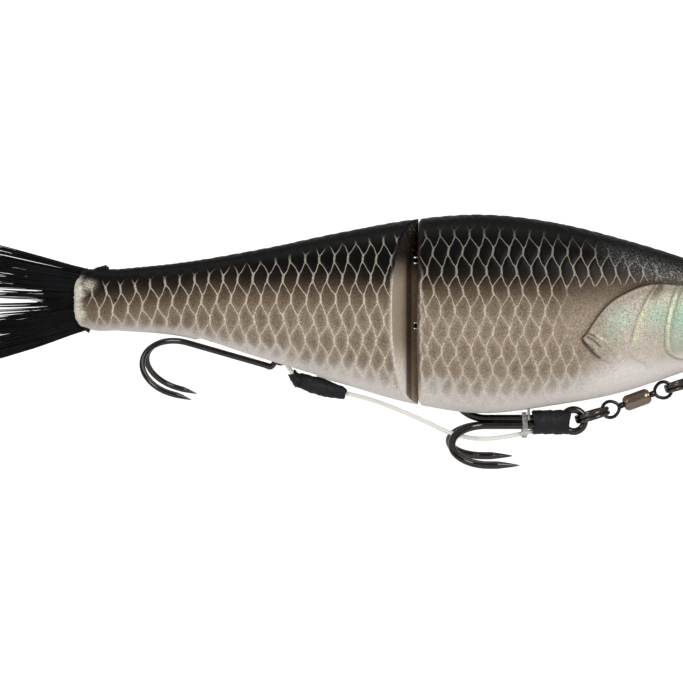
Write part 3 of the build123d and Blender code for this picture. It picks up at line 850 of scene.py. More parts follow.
def carve(piece, cutter):
    change = piece.modifiers.new("cut", "BOOLEAN")
    change.object, change.operation = cutter, "DIFFERENCE"
    change.solver = "MANIFOLD"
    change.material_mode = "TRANSFER"
    bpy.context.view_layer.update()
    result = bpy.data.meshes.new_from_object(piece.evaluated_get(bpy.context.evaluated_depsgraph_get()))
    piece.modifiers.clear()
    old = piece.data
    if len(result.polygons) < 10:
        raise RuntimeError(f"{piece.name} was lost when {cutter.name} cut it")
    piece.data = result
    bpy.data.meshes.remove(old)
    bpy.data.objects.remove(cutter)


def jointOutline(radius, angle, ahead):
    # outline in x and y of what lies ahead of or behind the joint's round edge and its two flat faces
    turn, far = math.radians(angle), 60.0
    hinge = body["hinge"]
    sideX = radius * math.cos(turn) - 30 * math.sin(turn)
    sideY = radius * math.sin(turn) + 30 * math.cos(turn)
    arc = [(hinge + radius * math.cos(a), radius * math.sin(a)) for a in np.linspace(turn, -turn, 17)]
    edge = [(hinge + sideX, sideY), *arc, (hinge + sideX, -sideY)]
    end = far if ahead else -far
    return [(hinge + end * 3, sideY), *edge, (hinge + end * 3, -sideY)]


def finishShell(piece, section):
    mesh = piece.data
    x, y, z = meshPoints(mesh).T
    along, around = netPlace(section, x, *bodyPlace(x, y, z))
    paintReach = netReach(section, x, z)[0]
    top, bottom, _ = profileAt(x)
    inward = behindFace(section, x, y)
    setAttribute(mesh, "netAlong", along)
    setAttribute(mesh, "netAround", around)
    setAttribute(mesh, "netRow", np.full(len(x), scales[section]["row"]))
    share = (z - bottom) / (top - bottom)
    wear = 0.85 * (1 - smoothStep(inward, 0.12, 0.5)) * (1 - smoothStep(z, 8, 14))
    shade = np.zeros(len(x))
    pearl, mint, headSheen, ridgeHighlight, darkShift = (np.zeros(len(x)) for _ in range(5))
    if section == "front":
        coverIn, cheekIn = coverRegions(x, z)
        free = openEdge(x, z)
        pearl = (smoothStep(coverIn, -0.1, 0.5) * (0.45 + 0.55 * smoothStep(coverIn, 0.5, 7))) * free
        pearl = pearl + smoothStep(coverIn, 0, 6) * (1 - free)
        frontPearl = smoothStep(x, -34, -26) * (1 - smoothStep(z, 3, 8.5))
        pearl = np.maximum(pearl, frontPearl)
        line = bell(coverIn + 0.05, 0.26) * free
        shade = line * smoothStep(-x, 30, 40) * smoothStep(z, -11, -6)
        shade = np.maximum(shade, 0.35 * bell(cheekIn + 0.2, 0.2) * smoothStep(-x, 26, 33))
        ridge = ridgeSide(x, z, gill["innerRidge"])
        shade = np.maximum(shade, 0.5 * bell(ridge + 0.25, 0.25) * smoothStep(z, -8, -4))
        shade = np.maximum(shade, 0.55 * bell(ridge - 1.2, 0.9) * smoothStep(z, 4, 8) * (z < 9.5))
        mouth = distanceTo(x, z, smoothPath(gill["mouth"]))
        shade = np.maximum(shade, 0.75 * bell(mouth, 0.35))
        for stroke in headPaint["strokes"]:
            shade = np.maximum(shade, 0.85 * bell(distanceTo(x, z, stroke), 0.24))
        for px, pz, size, amount in headPaint["mint"]:
            mint = np.maximum(mint, amount * np.exp(-((x - px) ** 2 + (z - pz) ** 2) / size**2))
        # painted highlight along the nose side of the inner gill ridge and along the cheek crest
        ridgeHighlight = 0.85 * bell(ridge - 0.95, 0.85) * smoothStep(z, -8.5, -5) * (1 - smoothStep(z, 3.5, 6))
        ridgeHighlight = np.maximum(ridgeHighlight, 0.95 * bell(cheekIn - 0.7, 0.36) * smoothStep(z, -10, -5)
                          * (1 - smoothStep(z, 5, 8)) * smoothStep(-x, 34, 38))
        px, pz = headPaint["scar"]
        spot = 0.8 * np.exp(-((x - px) ** 2 + (z - pz) ** 2) / 0.5)
        # painted sheen: a grey band of reflected light high on the head, fading out behind the gill cover
        headSheen = 0.8 * np.exp(-((z - 13.0 - (x + 45) * -0.3) / 2.6) ** 2) * smoothStep(x, -62, -44)
        darkShift = -1.4 * smoothStep(x, -72, -60)
        wavy = 0.22 * np.sin(z * 1.2 + 0.6) + 0.05 * np.sin(z * 3.1)
        rimLine = bell(inward - 1.05 - wavy, 0.2) * (1 - smoothStep(z, 8, 15))
        wear = 0.6 * rimLine
        shade = np.maximum(shade, 0.62 * (1 - smoothStep(inward, 0.5, 1.0)) * smoothStep(z, -22, -14))
        wear = np.maximum(wear, spot)
        share = share - 0.16 * smoothStep(x, -66, -48)
    else:
        ragged = (0.45 * np.sin(z * 1.1 + 0.4) + 0.2 * np.sin(z * 2.7 + y * 1.9)
                  + 0.1 * np.sin(z * 6.1 + y * 2))
        tailRim = smoothStep(-x + ragged, 190.3, 192.6)
        flecks = 0.62 + 0.38 * np.sin(x * 5.7 + z * 2.2) * np.sin(z * 6.3 - x * 2.9)
        px, pz = tailPaint["patch"]
        patch = flecks * np.exp(-(((x - px) / 1.7) ** 2 + ((z - pz + 0.5 * ragged) / 1.3) ** 2) ** 1.2)
        wear = np.maximum(wear, np.maximum(tailRim * 0.9, patch * 0.8) * (1 - smoothStep(z, 10.0, 11.5)))
        darkShift = 3.2 * smoothStep(-x, 150, 190)
        pit = np.hypot(x - tailPaint["pit"][0], z - tailPaint["pit"][1])
        shade = np.maximum(shade, np.exp(-(pit / 0.45) ** 4))
    setAttribute(mesh, "bellyShare", share)
    setAttribute(mesh, "netFade", paintReach * smoothStep(inward, 0.3, 0.9))
    for name, values in (("headPearl", pearl), ("mint", mint), ("headSheen", headSheen), ("shade", shade),
                         ("wear", wear), ("ridgeHighlight", ridgeHighlight), ("darkShift", darkShift)):
        setAttribute(mesh, name, values)
    mesh.shade_smooth()
    mesh.set_sharp_from_angle(angle=math.radians(42))


slots = {"trebleFront": -77.9, "trebleBack": -102.0, "trebleTop": -5.2, "trebleWidth": 4.0,
         "channelFront": -130.6, "channelBack": -162.4, "channelDepth": 1.6, "channelWidth": 6.4,
         "eyeFront": -135.6, "eyeBack": -144.4, "eyeTop": -6.4, "eyeWidth": 4.0}
eye = {"centre": (-25.4, 6.2, 4.6), "facing": (0.2, 0.97, 0.13), "radius": 4.5, "bulge": 1.7, "rim": 0.5,
       "foil": 0.3}
tail = {"slot": [(-184.6, 12.9), (-191.5, 13.1), (-195.4, 10.6), (-196.4, 4.7), (-195.4, -1.6),
                 (-191.5, -3.6), (-189.6, -3.4), (-187.6, 4.6)],
        "root": [(-184.8, 12.9), (-187.5, 13.3), (-189.0, 12.7), (-191.5, 12.6), (-192.6, 10.0),
                 (-193.2, 4.7), (-192.6, -1.2), (-191.0, -3.2), (-189.7, -3.1), (-187.7, 4.6)],
        "rootThickness": 2.0}


def channelOutline():
    def belly(x):
        return float(profileAt(x)[1][0])
    front, back, depth = slots["channelFront"], slots["channelBack"], slots["channelDepth"]
    outline = [(front, -60), (front, belly(front))]
    outline += [(x, belly(x) + depth) for x in (front - depth, -145.6, back + 3)]
    return outline + [(back, belly(back)), (back, -60)]


def boxOutline(front, back, low, high):
    return [(front, low), (front, high), (back, high), (back, low)]


def makeShell(node, section, side):
    step = body["gridStep"]
    if section == "front":
        xs = np.concatenate([np.linspace(-4.6, -9, 22)[:-1], np.arange(-9, -107.4, -step)])
        cutters = [prism("gap", jointOutline(joint["frontRadius"], joint["frontAngle"], False), -60, 60, 2,
                         jointPaint),
                   prism("slot", boxOutline(slots["trebleFront"], slots["trebleBack"], -60,
                                            slots["trebleTop"]),
                         -slots["trebleWidth"] / 2, slots["trebleWidth"] / 2, 1, jointPaint)]
        centre = np.array(eye["centre"]) * (1, side, 1)
        facing = np.array(eye["facing"]) * (1, side, 1)
        cutters.append(rodBlock("socket", centre, centre + facing / np.linalg.norm(facing) * 8,
                                eye["radius"] + 0.02,
                                jointPaint, 64))
    else:
        xs = np.concatenate([np.arange(-103.2, -190.4, -step), np.linspace(-190.5, -193.7, 12)])
        cutters = [prism("gap", jointOutline(joint["rearRadius"], joint["rearAngle"], True), -60, 60, 2,
                         jointPaint),
                   prism("channel", channelOutline(), -slots["channelWidth"] / 2, slots["channelWidth"] / 2,
                         1, bodyPaint),
                   prism("slot", boxOutline(slots["eyeFront"], slots["eyeBack"], -60, slots["eyeTop"]),
                         -slots["eyeWidth"] / 2, slots["eyeWidth"] / 2, 1, jointPaint),
                   prism("tailSlot", tail["slot"], -tail["rootThickness"] / 2, tail["rootThickness"] / 2, 1,
                         insideResin)]
        for height in joint["kerfs"]:
            low, high = ((body["hinge"], 0, height + end * joint["kerfHalf"]) for end in (-1, 1))
            cutters.append(rodBlock("kerf", low, high, joint["kerfRadius"], jointPaint, 48))
    piece = halfSolid(section + ("ShellLeft" if side > 0 else "ShellRight"), section, xs, side)
    piece.data.materials.append(bodyPaint)
    turnOutward(piece.data)
    hollow = halfSolid("hollow", section, np.linspace(*hollows[section]["ends"], 60), side, body["wall"], 60,
                       detailed=False)
    hollow.data.materials.append(insideResin)
    turnOutward(hollow.data)
    for i, (ahead, behind, high, low) in enumerate(hollows[section]["cores"]):
        carve(hollow, prism(f"core{i}", boxOutline(ahead, behind, low, high), -3.8, 3.8, 1, insideResin))
    carve(piece, hollow)
    for cutter in cutters:
        carve(piece, cutter)
    finishShell(piece, section)
    assign(piece, section + "_section", node)
    print(piece.name, len(piece.data.polygons), "faces")


for node, section, side in (("front_shell_left", "front", 1), ("front_shell_right", "front", -1),
                            ("rear_shell_left", "rear", 1), ("rear_shell_right", "rear", -1)):
    makeShell(node, section, side)
print("shells done")


# Hooks: forged wires, side by side, with a brazed shank, an open-bend eye and small barbs
treble = {"eye": (-64.0, 0, -26.7), "eyeRadius": 2.85, "eyeWire": 1.9, "wire": 2.0, "gape": 19.5,
          "offset": 1.16,
          "point": 7.9, "axis": -27.3, "bend": -86.85, "turns": (0, 120, 240), "barb": 1.0}
double = {"eye": (-140.2, 0, -9.9), "eyeRadius": 1.8, "eyeWire": 1.4, "wire": 1.5, "gape": 19.3, "side": 0.76,
          "spread": 48.0, "slope": 16.0, "bend": (-164.4, 0, -6.45), "shank": 22.3, "point": 5.5, "barb": 0.8}


def hookParts(shank, start, along, out, wire, gape, point, barb):
    # one wire: shank, round bend, straight run back, and a ground point with a barb on its inner side
    bend = gape / 2
    turn = np.linspace(0, math.pi, 40)[1:]
    arc = start + out * (bend - bend * np.cos(turn))[:, None] + along * (bend * np.sin(turn))[:, None]
    low = arc[-1]
    tip = low - along * point + out * 0.15
    path = evenPath(np.vstack([[shank], [start], arc, [low - along * point * 0.35], [tip]]), 0.3)
    left = np.linalg.norm(path - path[-1], axis=1)
    left[:len(left) // 2] = 99
    radius = wire / 2 * np.clip(0.05 + 0.95 * (left / (point * 0.72)) ** 0.75, 0, 1)
    parts = [tubeParts(path, radius, 20)]
    root = low - along * point * 0.42 - out * wire * 0.22
    end = low - along * point * 0.30 - out * (wire * 0.28 + barb * 0.55)
    blade = np.array([root - along * 0.9, root, (root + end) / 2 - along * 0.1, end])
    parts.append(tubeParts(smoothPath(blade, 5), np.linspace(wire * 0.26, 0.06, 16), 10))
    return parts


def ringPath(centre, radius, count=64):
    # a round loop that faces sideways
    turn = np.linspace(0, 2 * math.pi, count, endpoint=False)[:, None]
    return np.array(centre, float) + radius * (np.cos(turn) * [1, 0, 0] - np.sin(turn) * [0, 0, 1])


def lumpyRod(start, end, radius, lumps, seed):
    # brazing metal between wires: a rod with slow swellings
    draw = np.random.default_rng(seed)
    path = evenPath([start, end], 0.35)
    share = np.linspace(0, 1, len(path))
    swell = sum(draw.uniform(-1, 1) * np.sin(share * (4 + 5 * i) + draw.uniform(0, 6)) for i in range(4))
    ends = np.sqrt(np.clip(share * (1 - share) * 40, 0.02, 1))
    return tubeParts(path, radius * (1 + lumps * swell / 3) * ends, 16)


def makeTreble():
    eye = np.array(treble["eye"])
    neck = np.array([eye[0] - treble["eyeRadius"], 0, treble["axis"]])
    end = np.array([treble["bend"], 0, treble["axis"]])
    along = np.array([-1.0, 0, 0])
    parts = []
    for turn in treble["turns"]:
        out = np.array([0, math.sin(math.radians(turn)), math.cos(math.radians(turn))])
        offset = out * treble["offset"]
        parts += hookParts(neck + offset, end + offset, along, out, treble["wire"],
                           treble["gape"] - treble["offset"],
                           treble["point"], treble["barb"])
    parts.append(tubeParts(ringPath(eye, treble["eyeRadius"]), treble["eyeWire"] / 2, 18, closed=True))
    parts.append(lumpyRod(neck + [0.6, 0, 0], end + [1.5, 0, 0], 0.95, 0.2, 3))
    piece = joinParts("trebleHook", parts, [blackNickel], 50)
    assign(piece, "front_hook", "front_treble")


def makeDouble():
    slope = math.radians(double["slope"])
    along = np.array([-math.cos(slope), 0, math.sin(slope)])
    down = np.array([-math.sin(slope), 0, -math.cos(slope)])
    bend = np.array(double["bend"])
    neck = bend - along * double["shank"]
    parts = []
    for side in (-1, 1):
        spread = math.radians(double["spread"])
        out = down * math.cos(spread) + np.array([0, side * math.sin(spread), 0])
        offset = np.array([0, side * double["side"], 0])
        parts += hookParts(neck + offset, bend + offset, along, out, double["wire"], double["gape"],
                           double["point"], double["barb"])
    parts.append(tubeParts(ringPath(double["eye"], double["eyeRadius"]), double["eyeWire"] / 2, 18,
                           closed=True))
    parts.append(lumpyRod(neck + along * 0.5, bend - along * 2, 0.5, 0.25, 5))
    eye = np.array(double["eye"], float)
    toNeck = (neck - eye) / np.linalg.norm(neck - eye)
    bent = smoothPath([eye + toNeck * double["eyeRadius"], neck - along * 0.2, neck + along * 1.6], 8)
    parts.append(tubeParts(bent, np.linspace(0.72, 0.8, len(bent)), 18))
    piece = joinParts("doubleHook", parts, [blackNickel], 50)
    assign(piece, "rear_hook", "rear_double_hook")


makeTreble()
makeDouble()
print("hooks done")


# Split rings and swivel
chain = {"chinEye": (-31.0, 0, -15.7), "chinRadius": 2.4, "chinWire": 1.2, "headEye": (-40.6, 0, -18.7),
         "tailEye": (-54.5, 0, -23.8), "eyeRadius": 2.1, "eyeWire": 0.9, "ringOuter": 9.4, "ringWire": 1.1,
         "barrelRadius": 2.05, "barrelLength": 7.3, "stemRadius": 0.7}


def splitRing(name, node, body, fromEye, fromRadius, fromWire, toEye, toRadius, toWire):
    # two turns of round wire that lie on each other, with a short crossing between them
    fromEye, toEye = np.array(fromEye, float), np.array(toEye, float)
    line = (toEye - fromEye) / np.linalg.norm(toEye - fromEye)
    middle = (fromEye + line * (fromRadius - fromWire / 2) + toEye - line * (toRadius - toWire / 2)) / 2
    first, second = np.array([-line[2], 0, line[0]]), np.array([0, 1.0, 0])
    radius = (chain["ringOuter"] - chain["ringWire"]) / 2
    # it lies in the plane of the chain's line and the cross axis, and passes through both eyes
    turns = np.linspace(0.12, 4 * math.pi - 0.12, 180)
    lift = chain["ringWire"] / 2 * np.tanh((turns - 2 * math.pi) * 5.5)
    path = (middle + radius * (np.cos(turns)[:, None] * line + np.sin(turns)[:, None] * second)
            + lift[:, None] * first)
    piece = joinParts(name, [tubeParts(path, chain["ringWire"] / 2 * 0.97, 16)], [ringSteel], 50)
    assign(piece, body, node)


splitRing("chinSplitRing", "chin_split_ring", "chin_ring", chain["chinEye"], chain["chinRadius"],
          chain["chinWire"],
          chain["headEye"], chain["eyeRadius"], chain["eyeWire"])
splitRing("harnessSplitRing", "harness_split_ring", "harness_ring", chain["tailEye"], chain["eyeRadius"],
          chain["eyeWire"], treble["eye"], treble["eyeRadius"], treble["eyeWire"])


def makeSwivel():
    head, end = np.array(chain["headEye"]), np.array(chain["tailEye"])
    line = (end - head) / np.linalg.norm(end - head)
    middle = (head + end) / 2
    half = chain["barrelLength"] / 2
    for name, node, centre, inward in (("swivelHeadEye", "swivel_head_eye", head, line),
                                       ("swivelTailEye", "swivel_tail_eye", end, -line)):
        up = np.cross(inward, (0, 1, 0))
        turn = np.linspace(0, 2 * math.pi, 60, endpoint=False)
        pull = 1 + 0.16 * np.clip(np.cos(turn), 0, 1) ** 3        # drawn out into a teardrop at the neck
        path = centre + chain["eyeRadius"] * ((np.cos(turn) * pull)[:, None] * inward
                                              + np.sin(turn)[:, None] * up)
        parts = [tubeParts(path, chain["eyeWire"] / 2, 14, closed=True)]
        neck = np.array([centre + inward * (chain["eyeRadius"] - 0.1), middle - inward * (half + 0.25),
                         middle - inward * 1.4])
        stem = evenPath(neck, 0.25)
        share = np.linspace(0, 1, len(stem))
        radius = chain["stemRadius"] * (1 + 0.22 * bell(share - 0.28, 0.09))
        parts.append(tubeParts(stem, np.minimum(radius, 0.86), 16))
        parts.append(tubeParts(evenPath([middle - inward * 2.3, middle - inward * 1.4], 0.3), 1.28, 20))
        piece = joinParts(name, parts, [swivelSteel], 50)
        assign(piece, "swivel", node)
    # barrel: a tube with rolled ends and a shallow band at each shoulder
    outer = [(-half, 0.80), (-half, 1.10), (-half + 0.12, 1.45), (-half + 0.40, 1.75), (-half + 0.62, 1.80),
             (-half + 0.75, 1.95), *[(-half + p, chain["barrelRadius"]) for p in (0.95, 1.9, 2.1)]]
    outer += [(-p, r) for p, r in outer[::-1]]
    inner = [(half, 0.76), (2.5, 0.76), (2.5, 1.36), (-2.5, 1.36), (-2.5, 0.76), (-half, 0.76)]
    profile = outer + inner
    side = np.array([0, 1.0, 0])
    up = np.cross(line, side)
    turn = np.linspace(0, 2 * math.pi, 48, endpoint=False)
    points = np.array([[middle + line * p + r * (math.cos(a) * side + math.sin(a) * up) for a in turn]
                       for p, r in profile])
    faces = gridFaces(len(profile), 48, wrap=True)
    last = (len(profile) - 1) * 48
    faces += [[last + i, last + (i + 1) % 48, (i + 1) % 48, i] for i in range(48)]
    piece = meshFrom("swivelBarrel", points.reshape(-1, 3), faces, [gunMetal], 30)
    turnOutward(piece.data)
    piece.data.set_sharp_from_angle(angle=math.radians(30))
    assign(piece, "barrel", "swivel_barrel")


makeSwivel()
print("rings and swivel done")


# Wires in the body: line tie and keeper
wires = {"tieRadius": 2.95, "tieWire": 1.5, "throughWire": 1.2, "keeperFoot": (-75.9, -3.4, -26.3),
         "keeperRadius": 0.35,
         "keeperDepth": 8.0}


def roundCorners(points, radii):
    # straight runs joined by round bends
    points = np.asarray(points, float)
    path = [points[0]]
    for before, corner, after, radius in zip(points, points[1:], points[2:], radii):
        back = (before - corner) / np.linalg.norm(before - corner)
        on = (after - corner) / np.linalg.norm(after - corner)
        half = math.acos(np.clip(np.dot(back, on), -1, 1)) / 2
        reach = radius / math.tan(half)
        centre = corner + (back + on) / np.linalg.norm(back + on) * radius / math.sin(half)
        a, b = corner + back * reach - centre, corner + on * reach - centre
        for share in np.linspace(0, 1, 14):
            spoke = a * (1 - share) + b * share
            path.append(centre + spoke / np.linalg.norm(spoke) * radius)
    path.append(points[-1])
    return np.array(path)


def makeWires():
    chinTop = np.array(chain["chinEye"]) + [0, 0, chain["chinRadius"]]
    through = roundCorners([(-wires["tieRadius"] + 0.2, 0, 0), (-20, 0, 0), (-29.6, 0, -5.5), chinTop],
                           [5, 4])
    parts = [tubeParts(ringPath((0, 0, 0), wires["tieRadius"], 72), wires["tieWire"] / 2, 18, closed=True),
             tubeParts(evenPath(through, 0.5), wires["throughWire"] / 2, 16),
             tubeParts(ringPath(chain["chinEye"], chain["chinRadius"]), chain["chinWire"] / 2, 16,
                       closed=True)]
    piece = joinParts("lineTieWire", parts, [stainless], 50)
    assign(piece, "front_section", "line_tie_wire")
    foot = np.array(wires["keeperFoot"])
    path = evenPath(roundCorners([foot + [0, 0, wires["keeperDepth"]], foot, foot + [0, -1.3, 0.3]], [0.6]),
                    0.15)
    keeper = joinParts("keeperWire", [tubeParts(path, wires["keeperRadius"], 12)], [stainless], 50)
    assign(keeper, "front_section", "keeper_wire")


makeWires()


# Sleeves, cord loop and band
sleeve = {"front": ((-74.7, 0, -27.1), (-65.0, 0, -27.1)), "frontRadii": (3.2, 3.15, 3.25, 3.2),
          "rear": ((-136.0, 0, -16.0), (-123.5, 0, -19.8)), "rearRadii": (2.0, 2.35, 1.65),
          "neck": ((-137.4, 0, -14.2), (-135.2, 0, -17.0)), "neckRadii": (1.15, 1.5, 1.7),
          "loopWire": 1.0, "loopTail": 0.6}
band = {"x": -76.8, "low": -31.2, "high": -24.45, "halfWidth": 2.8, "thickness": 0.55, "length": 1.3}


def sleeveParts(start, end, radii, seed, squeeze, flat=(1.0, 1.0), rings=64, sides=56):
    # tubing shrunk over lashed cord: ridges of the lashing, creases, and puckered ends
    start, end = np.array(start, float), np.array(end, float)
    line = (end - start) / np.linalg.norm(end - start)
    side = np.array([0, 1.0, 0])
    up = np.cross(line, side)
    draw = np.random.default_rng(seed)
    share = np.linspace(0, 1, rings)
    turn = np.linspace(0, 2 * math.pi, sides, endpoint=False)
    s, a = np.meshgrid(share, turn, indexing="ij")
    size = np.interp(share, np.linspace(0, 1, len(radii)), radii)[:, None] * np.ones_like(a)
    bumps = np.zeros_like(a)
    for i in range(9):
        k, m = draw.integers(1, 6), draw.integers(2, 9)
        bumps += (draw.uniform(0.2, 1) * np.cos(k * a + draw.uniform(0, 6))
                  * np.sin(m * math.pi * s + draw.uniform(0, 6)))
    ridges = np.abs(np.sin(s * math.pi * 7 + 0.6 * np.cos(a * 2 + seed)))
    size += squeeze * (bumps / 3 + 0.5 * ridges - 0.5)
    mouth = np.minimum(s, 1 - s)
    size *= 1 - 0.10 * bell(mouth, 0.035)
    length = np.linalg.norm(end - start)
    uneven = 0.32 * np.sin(2 * a + seed) * (s - 0.5) * 2 * (1 - bell(s - 0.5, 0.3))
    points = (start + line * ((s * length) + uneven)[..., None]
              + side * (np.cos(a) * size * flat[0])[..., None] + up * (np.sin(a) * size * flat[1])[..., None])
    points = points.reshape(-1, 3)
    faces = gridFaces(rings, sides, wrap=True)
    # each end turns inward to a hole-less dished face
    for row, place, inset in ((0, start, 0.5), (rings - 1, end, -0.5)):
        rim = np.arange(sides) + row * sides
        centreLine = place + line * inset
        dish = centreLine + (points[rim] - place) * 0.72
        base = len(points)
        points = np.vstack([points, dish, centreLine])
        for i in range(sides):
            j = (i + 1) % sides
            quad = [rim[i], rim[j], base + j, base + i]
            cap = [base + i, base + j, base + sides]
            if row == 0:
                quad, cap = quad[::-1], cap[::-1]
            faces += [quad, cap]
    return points, faces


def makeSleeves():
    front = joinParts("frontSleeve", [sleeveParts(*sleeve["front"], sleeve["frontRadii"], 4, 0.16)],
                      [sleeveRubber], 60)
    turnOutward(front.data)
    assign(front, "front_hook", "front_shrink_tube")
    neck = sleeveParts(*sleeve["neck"], sleeve["neckRadii"], 5, 0.1, (1.55, 1.0))
    rear = joinParts("rearSleeve", [sleeveParts(*sleeve["rear"], sleeve["rearRadii"], 9, 0.2, (0.85, 1.0)),
                                    neck],
                     [sleeveRubber], 60)
    turnOutward(rear.data)
    assign(rear, "rear_link", "rear_shrink_tube")
    # a narrow loop of the cord, through the hook's eye and back into the sleeve
    eyeCentre, tubeEnd = np.array(double["eye"]), np.array(sleeve["rear"][0])
    line = (tubeEnd - eyeCentre) / np.linalg.norm(tubeEnd - eyeCentre)
    across = np.array([0, 1.0, 0])
    radius = double["eyeWire"] / 2 + 0.05 + sleeve["loopWire"] / 2
    nearEnd, farEnd = tubeEnd + line * sleeve["loopTail"], eyeCentre + line * (double["eyeRadius"] - radius)
    turn = np.linspace(-math.pi / 2, math.pi / 2, 20)[:, None]
    half = np.cos(turn) * line * radius + np.sin(turn) * across * radius
    path = evenPath(np.vstack([nearEnd - line * radius + half, (farEnd + line * radius - half)]), 0.2)
    path = path[:-1] if np.linalg.norm(path[0] - path[-1]) < 0.1 else path
    turn = np.arange(len(path)) * 2 * math.pi / len(path)
    sides = np.linspace(0, 2 * math.pi, 14, endpoint=False)
    weave = np.maximum(np.cos(3 * sides[None] + 12 * turn[:, None]),
                       np.cos(3 * sides[None] - 12 * turn[:, None]))
    radius = sleeve["loopWire"] / 2 * (0.92 + 0.08 * weave)
    loop = joinParts("cordLoop", [tubeParts(path, radius, 14, closed=True)], [cordBraid], 60)
    # painted shade in the grooves of the loop's braid
    setAttribute(loop.data, "braidGrooveShade", smoothStep(-weave, -0.75, 0.2).reshape(-1))
    assign(loop, "rear_link", "cord_loop")


def makeBand():
    # a stretched ring of clear tubing round the shank and the cord, hooked on the keeper
    middle, rise = (band["low"] + band["high"]) / 2, (band["high"] - band["low"]) / 2
    turn = np.linspace(0, 2 * math.pi, 72, endpoint=False)
    wide = band["halfWidth"] - band["thickness"] / 2
    tall = rise - band["thickness"] / 2
    path = np.stack([np.full(72, band["x"]), wide * np.sign(np.cos(turn)) * np.abs(np.cos(turn)) ** 0.8,
                     middle + tall * np.sign(np.sin(turn)) * np.abs(np.sin(turn)) ** 0.8], -1)
    path[:, 0] += 0.12 * np.sin(turn * 2 + 0.5)
    outline = []
    for point in path:
        outward = (point - [band["x"], 0, middle]) / [1, wide, tall]
        outward[0] = 0
        outward /= np.linalg.norm(outward)
        ring = []
        for a in np.linspace(0, 2 * math.pi, 16, endpoint=False):
            flatX = math.copysign(abs(math.cos(a)) ** 0.6, math.cos(a)) * band["length"] / 2
            flatR = math.copysign(abs(math.sin(a)) ** 0.6, math.sin(a)) * band["thickness"] / 2
            ring.append(point + [flatX, 0, 0] + outward * flatR)
        outline.append(ring)
    faces = gridFaces(72, 16, wrap=True)
    last = 71 * 16
    faces += [[last + i, last + (i + 1) % 16, (i + 1) % 16, i] for i in range(16)]
    piece = meshFrom("keeperBand", np.array(outline).reshape(-1, 3), faces, [bandSilicone], 50)
    turnOutward(piece.data)
    piece.data.set_sharp_from_angle(angle=math.radians(50))
    assign(piece, "front_hook", "keeper_band")


makeSleeves()
makeBand()
print("sleeves and band done")


# Eyes
def makeEye(sideName, side):
    centre = np.array(eye["centre"]) * (1, side, 1)
    facing = np.array(eye["facing"]) * (1, side, 1)
    facing = facing / np.linalg.norm(facing)
    first = np.cross(facing, (0, 0, 1))
    first /= np.linalg.norm(first)
    second = np.cross(facing, first)

    def disc(profile, count, name, material):
        turn = np.linspace(0, 2 * math.pi, count, endpoint=False)
        points = [[centre + facing * h + r * (math.cos(a) * first + math.sin(a) * second) for a in turn]
                  for r, h in profile]
        faces = gridFaces(len(profile), count, wrap=True)
        points = np.array(points).reshape(-1, 3)
        points = np.vstack([points, centre + facing * profile[0][1], centre + facing * profile[-1][1]])
        faces += [[len(points) - 2, (i + 1) % count, i] for i in range(count)]
        last = (len(profile) - 1) * count
        faces += [[len(points) - 1, last + i, last + (i + 1) % count] for i in range(count)]
        piece = meshFrom(name, points, faces, [material], 40)
        turnOutward(piece.data)
        piece.data.set_sharp_from_angle(angle=math.radians(40))
        return piece

    radius, foil = eye["radius"], eye["foil"]
    rings = np.linspace(0.03, 1, 40)
    iris = disc([(radius * 0.99, 0), *[(radius * 0.985 * r, foil
                                        - 0.02 - 0.14 * (1 - r)) for r in rings[::-1]]], 96,
                f"irisFoil{sideName}", irisFoil)
    spots = (meshPoints(iris.data) - centre)
    out = np.linalg.norm(spots - np.outer(spots @ facing, facing), axis=1) / radius
    angle = np.arctan2(spots @ second, spots @ first)
    setAttribute(iris.data, "irisRadius", out)
    setAttribute(iris.data, "irisSpoke", 0.5 + 0.5 * np.sin(angle * 24 + 3 * np.sin(out * 9)))
    dome = (radius**2 + eye["bulge"]**2) / (2 * eye["bulge"])
    profile = [(radius * 0.98, foil + 0.02), (radius * 0.995, foil + eye["rim"])]
    for r in np.linspace(0.97, 0.02, 26):
        profile.append((radius * r, foil + eye["rim"] + eye["bulge"]
                        - dome + math.sqrt(dome**2 - (radius * r) ** 2)))
    lens = disc(profile, 72, f"eyeLens{sideName}", eyeEpoxy)
    for piece, node, slotName in ((iris, "iris_foil_", "iris"), (lens, "eye_lens_", "lens")):
        assign(piece, "front_section", node + sideName.lower())


makeEye("Left", 1)
makeEye("Right", -1)
print("eyes done")


# Tail: a resin root and a fan of bristles
brush = {"seed": 7, "count": 620, "thickness": 1.3, "radius": 0.17, "rootX": -190.0,
         "top": [(-229.5, 22.4), (-213.2, 18.7), (-202.8, 15.9), (-192.4, 13.1), (-188, 12.3)],
         "bottom": [(-229.5, -14.0), (-213.2, -10.4), (-202.8, -7.3), (-192.4, -3.5), (-188, -2.4)]}


def makeTailRoot():
    outline = smoothPath(tail["root"], 10, closed=True)
    layers = [(-1.0, 0.90), (-0.92, 0.98), (-0.6, 1.0), (0.0, 1.0), (0.6, 1.0), (0.92, 0.98), (1.0, 0.90)]
    middle = outline.mean(0)
    points = []
    draw = np.random.default_rng(2)
    lump = 1 + 0.012 * draw.standard_normal(len(outline))
    for share, size in layers:
        flat = middle + (outline - middle) * (size * lump)[:, None]
        side = np.full(len(flat), share * tail["rootThickness"] / 2)
        points.append(np.stack([flat[:, 0], side, flat[:, 1]], -1))
    count = len(outline)
    points = np.array(points).reshape(-1, 3)
    faces = gridFaces(len(layers), count, wrap=True)
    faces += [list(range(count))[::-1], [(len(layers) - 1) * count + i for i in range(count)]]
    piece = meshFrom("tailRoot", points, faces, [rootResin], 40)
    turnOutward(piece.data)
    piece.data.set_sharp_from_angle(angle=math.radians(40))
    assign(piece, "rear_section", "tail_root")


def fanEdge(x, edge):
    # height of the fan's upper or lower edge
    xs, zs = np.array(brush[edge]).T
    return np.interp(x, xs, zs)


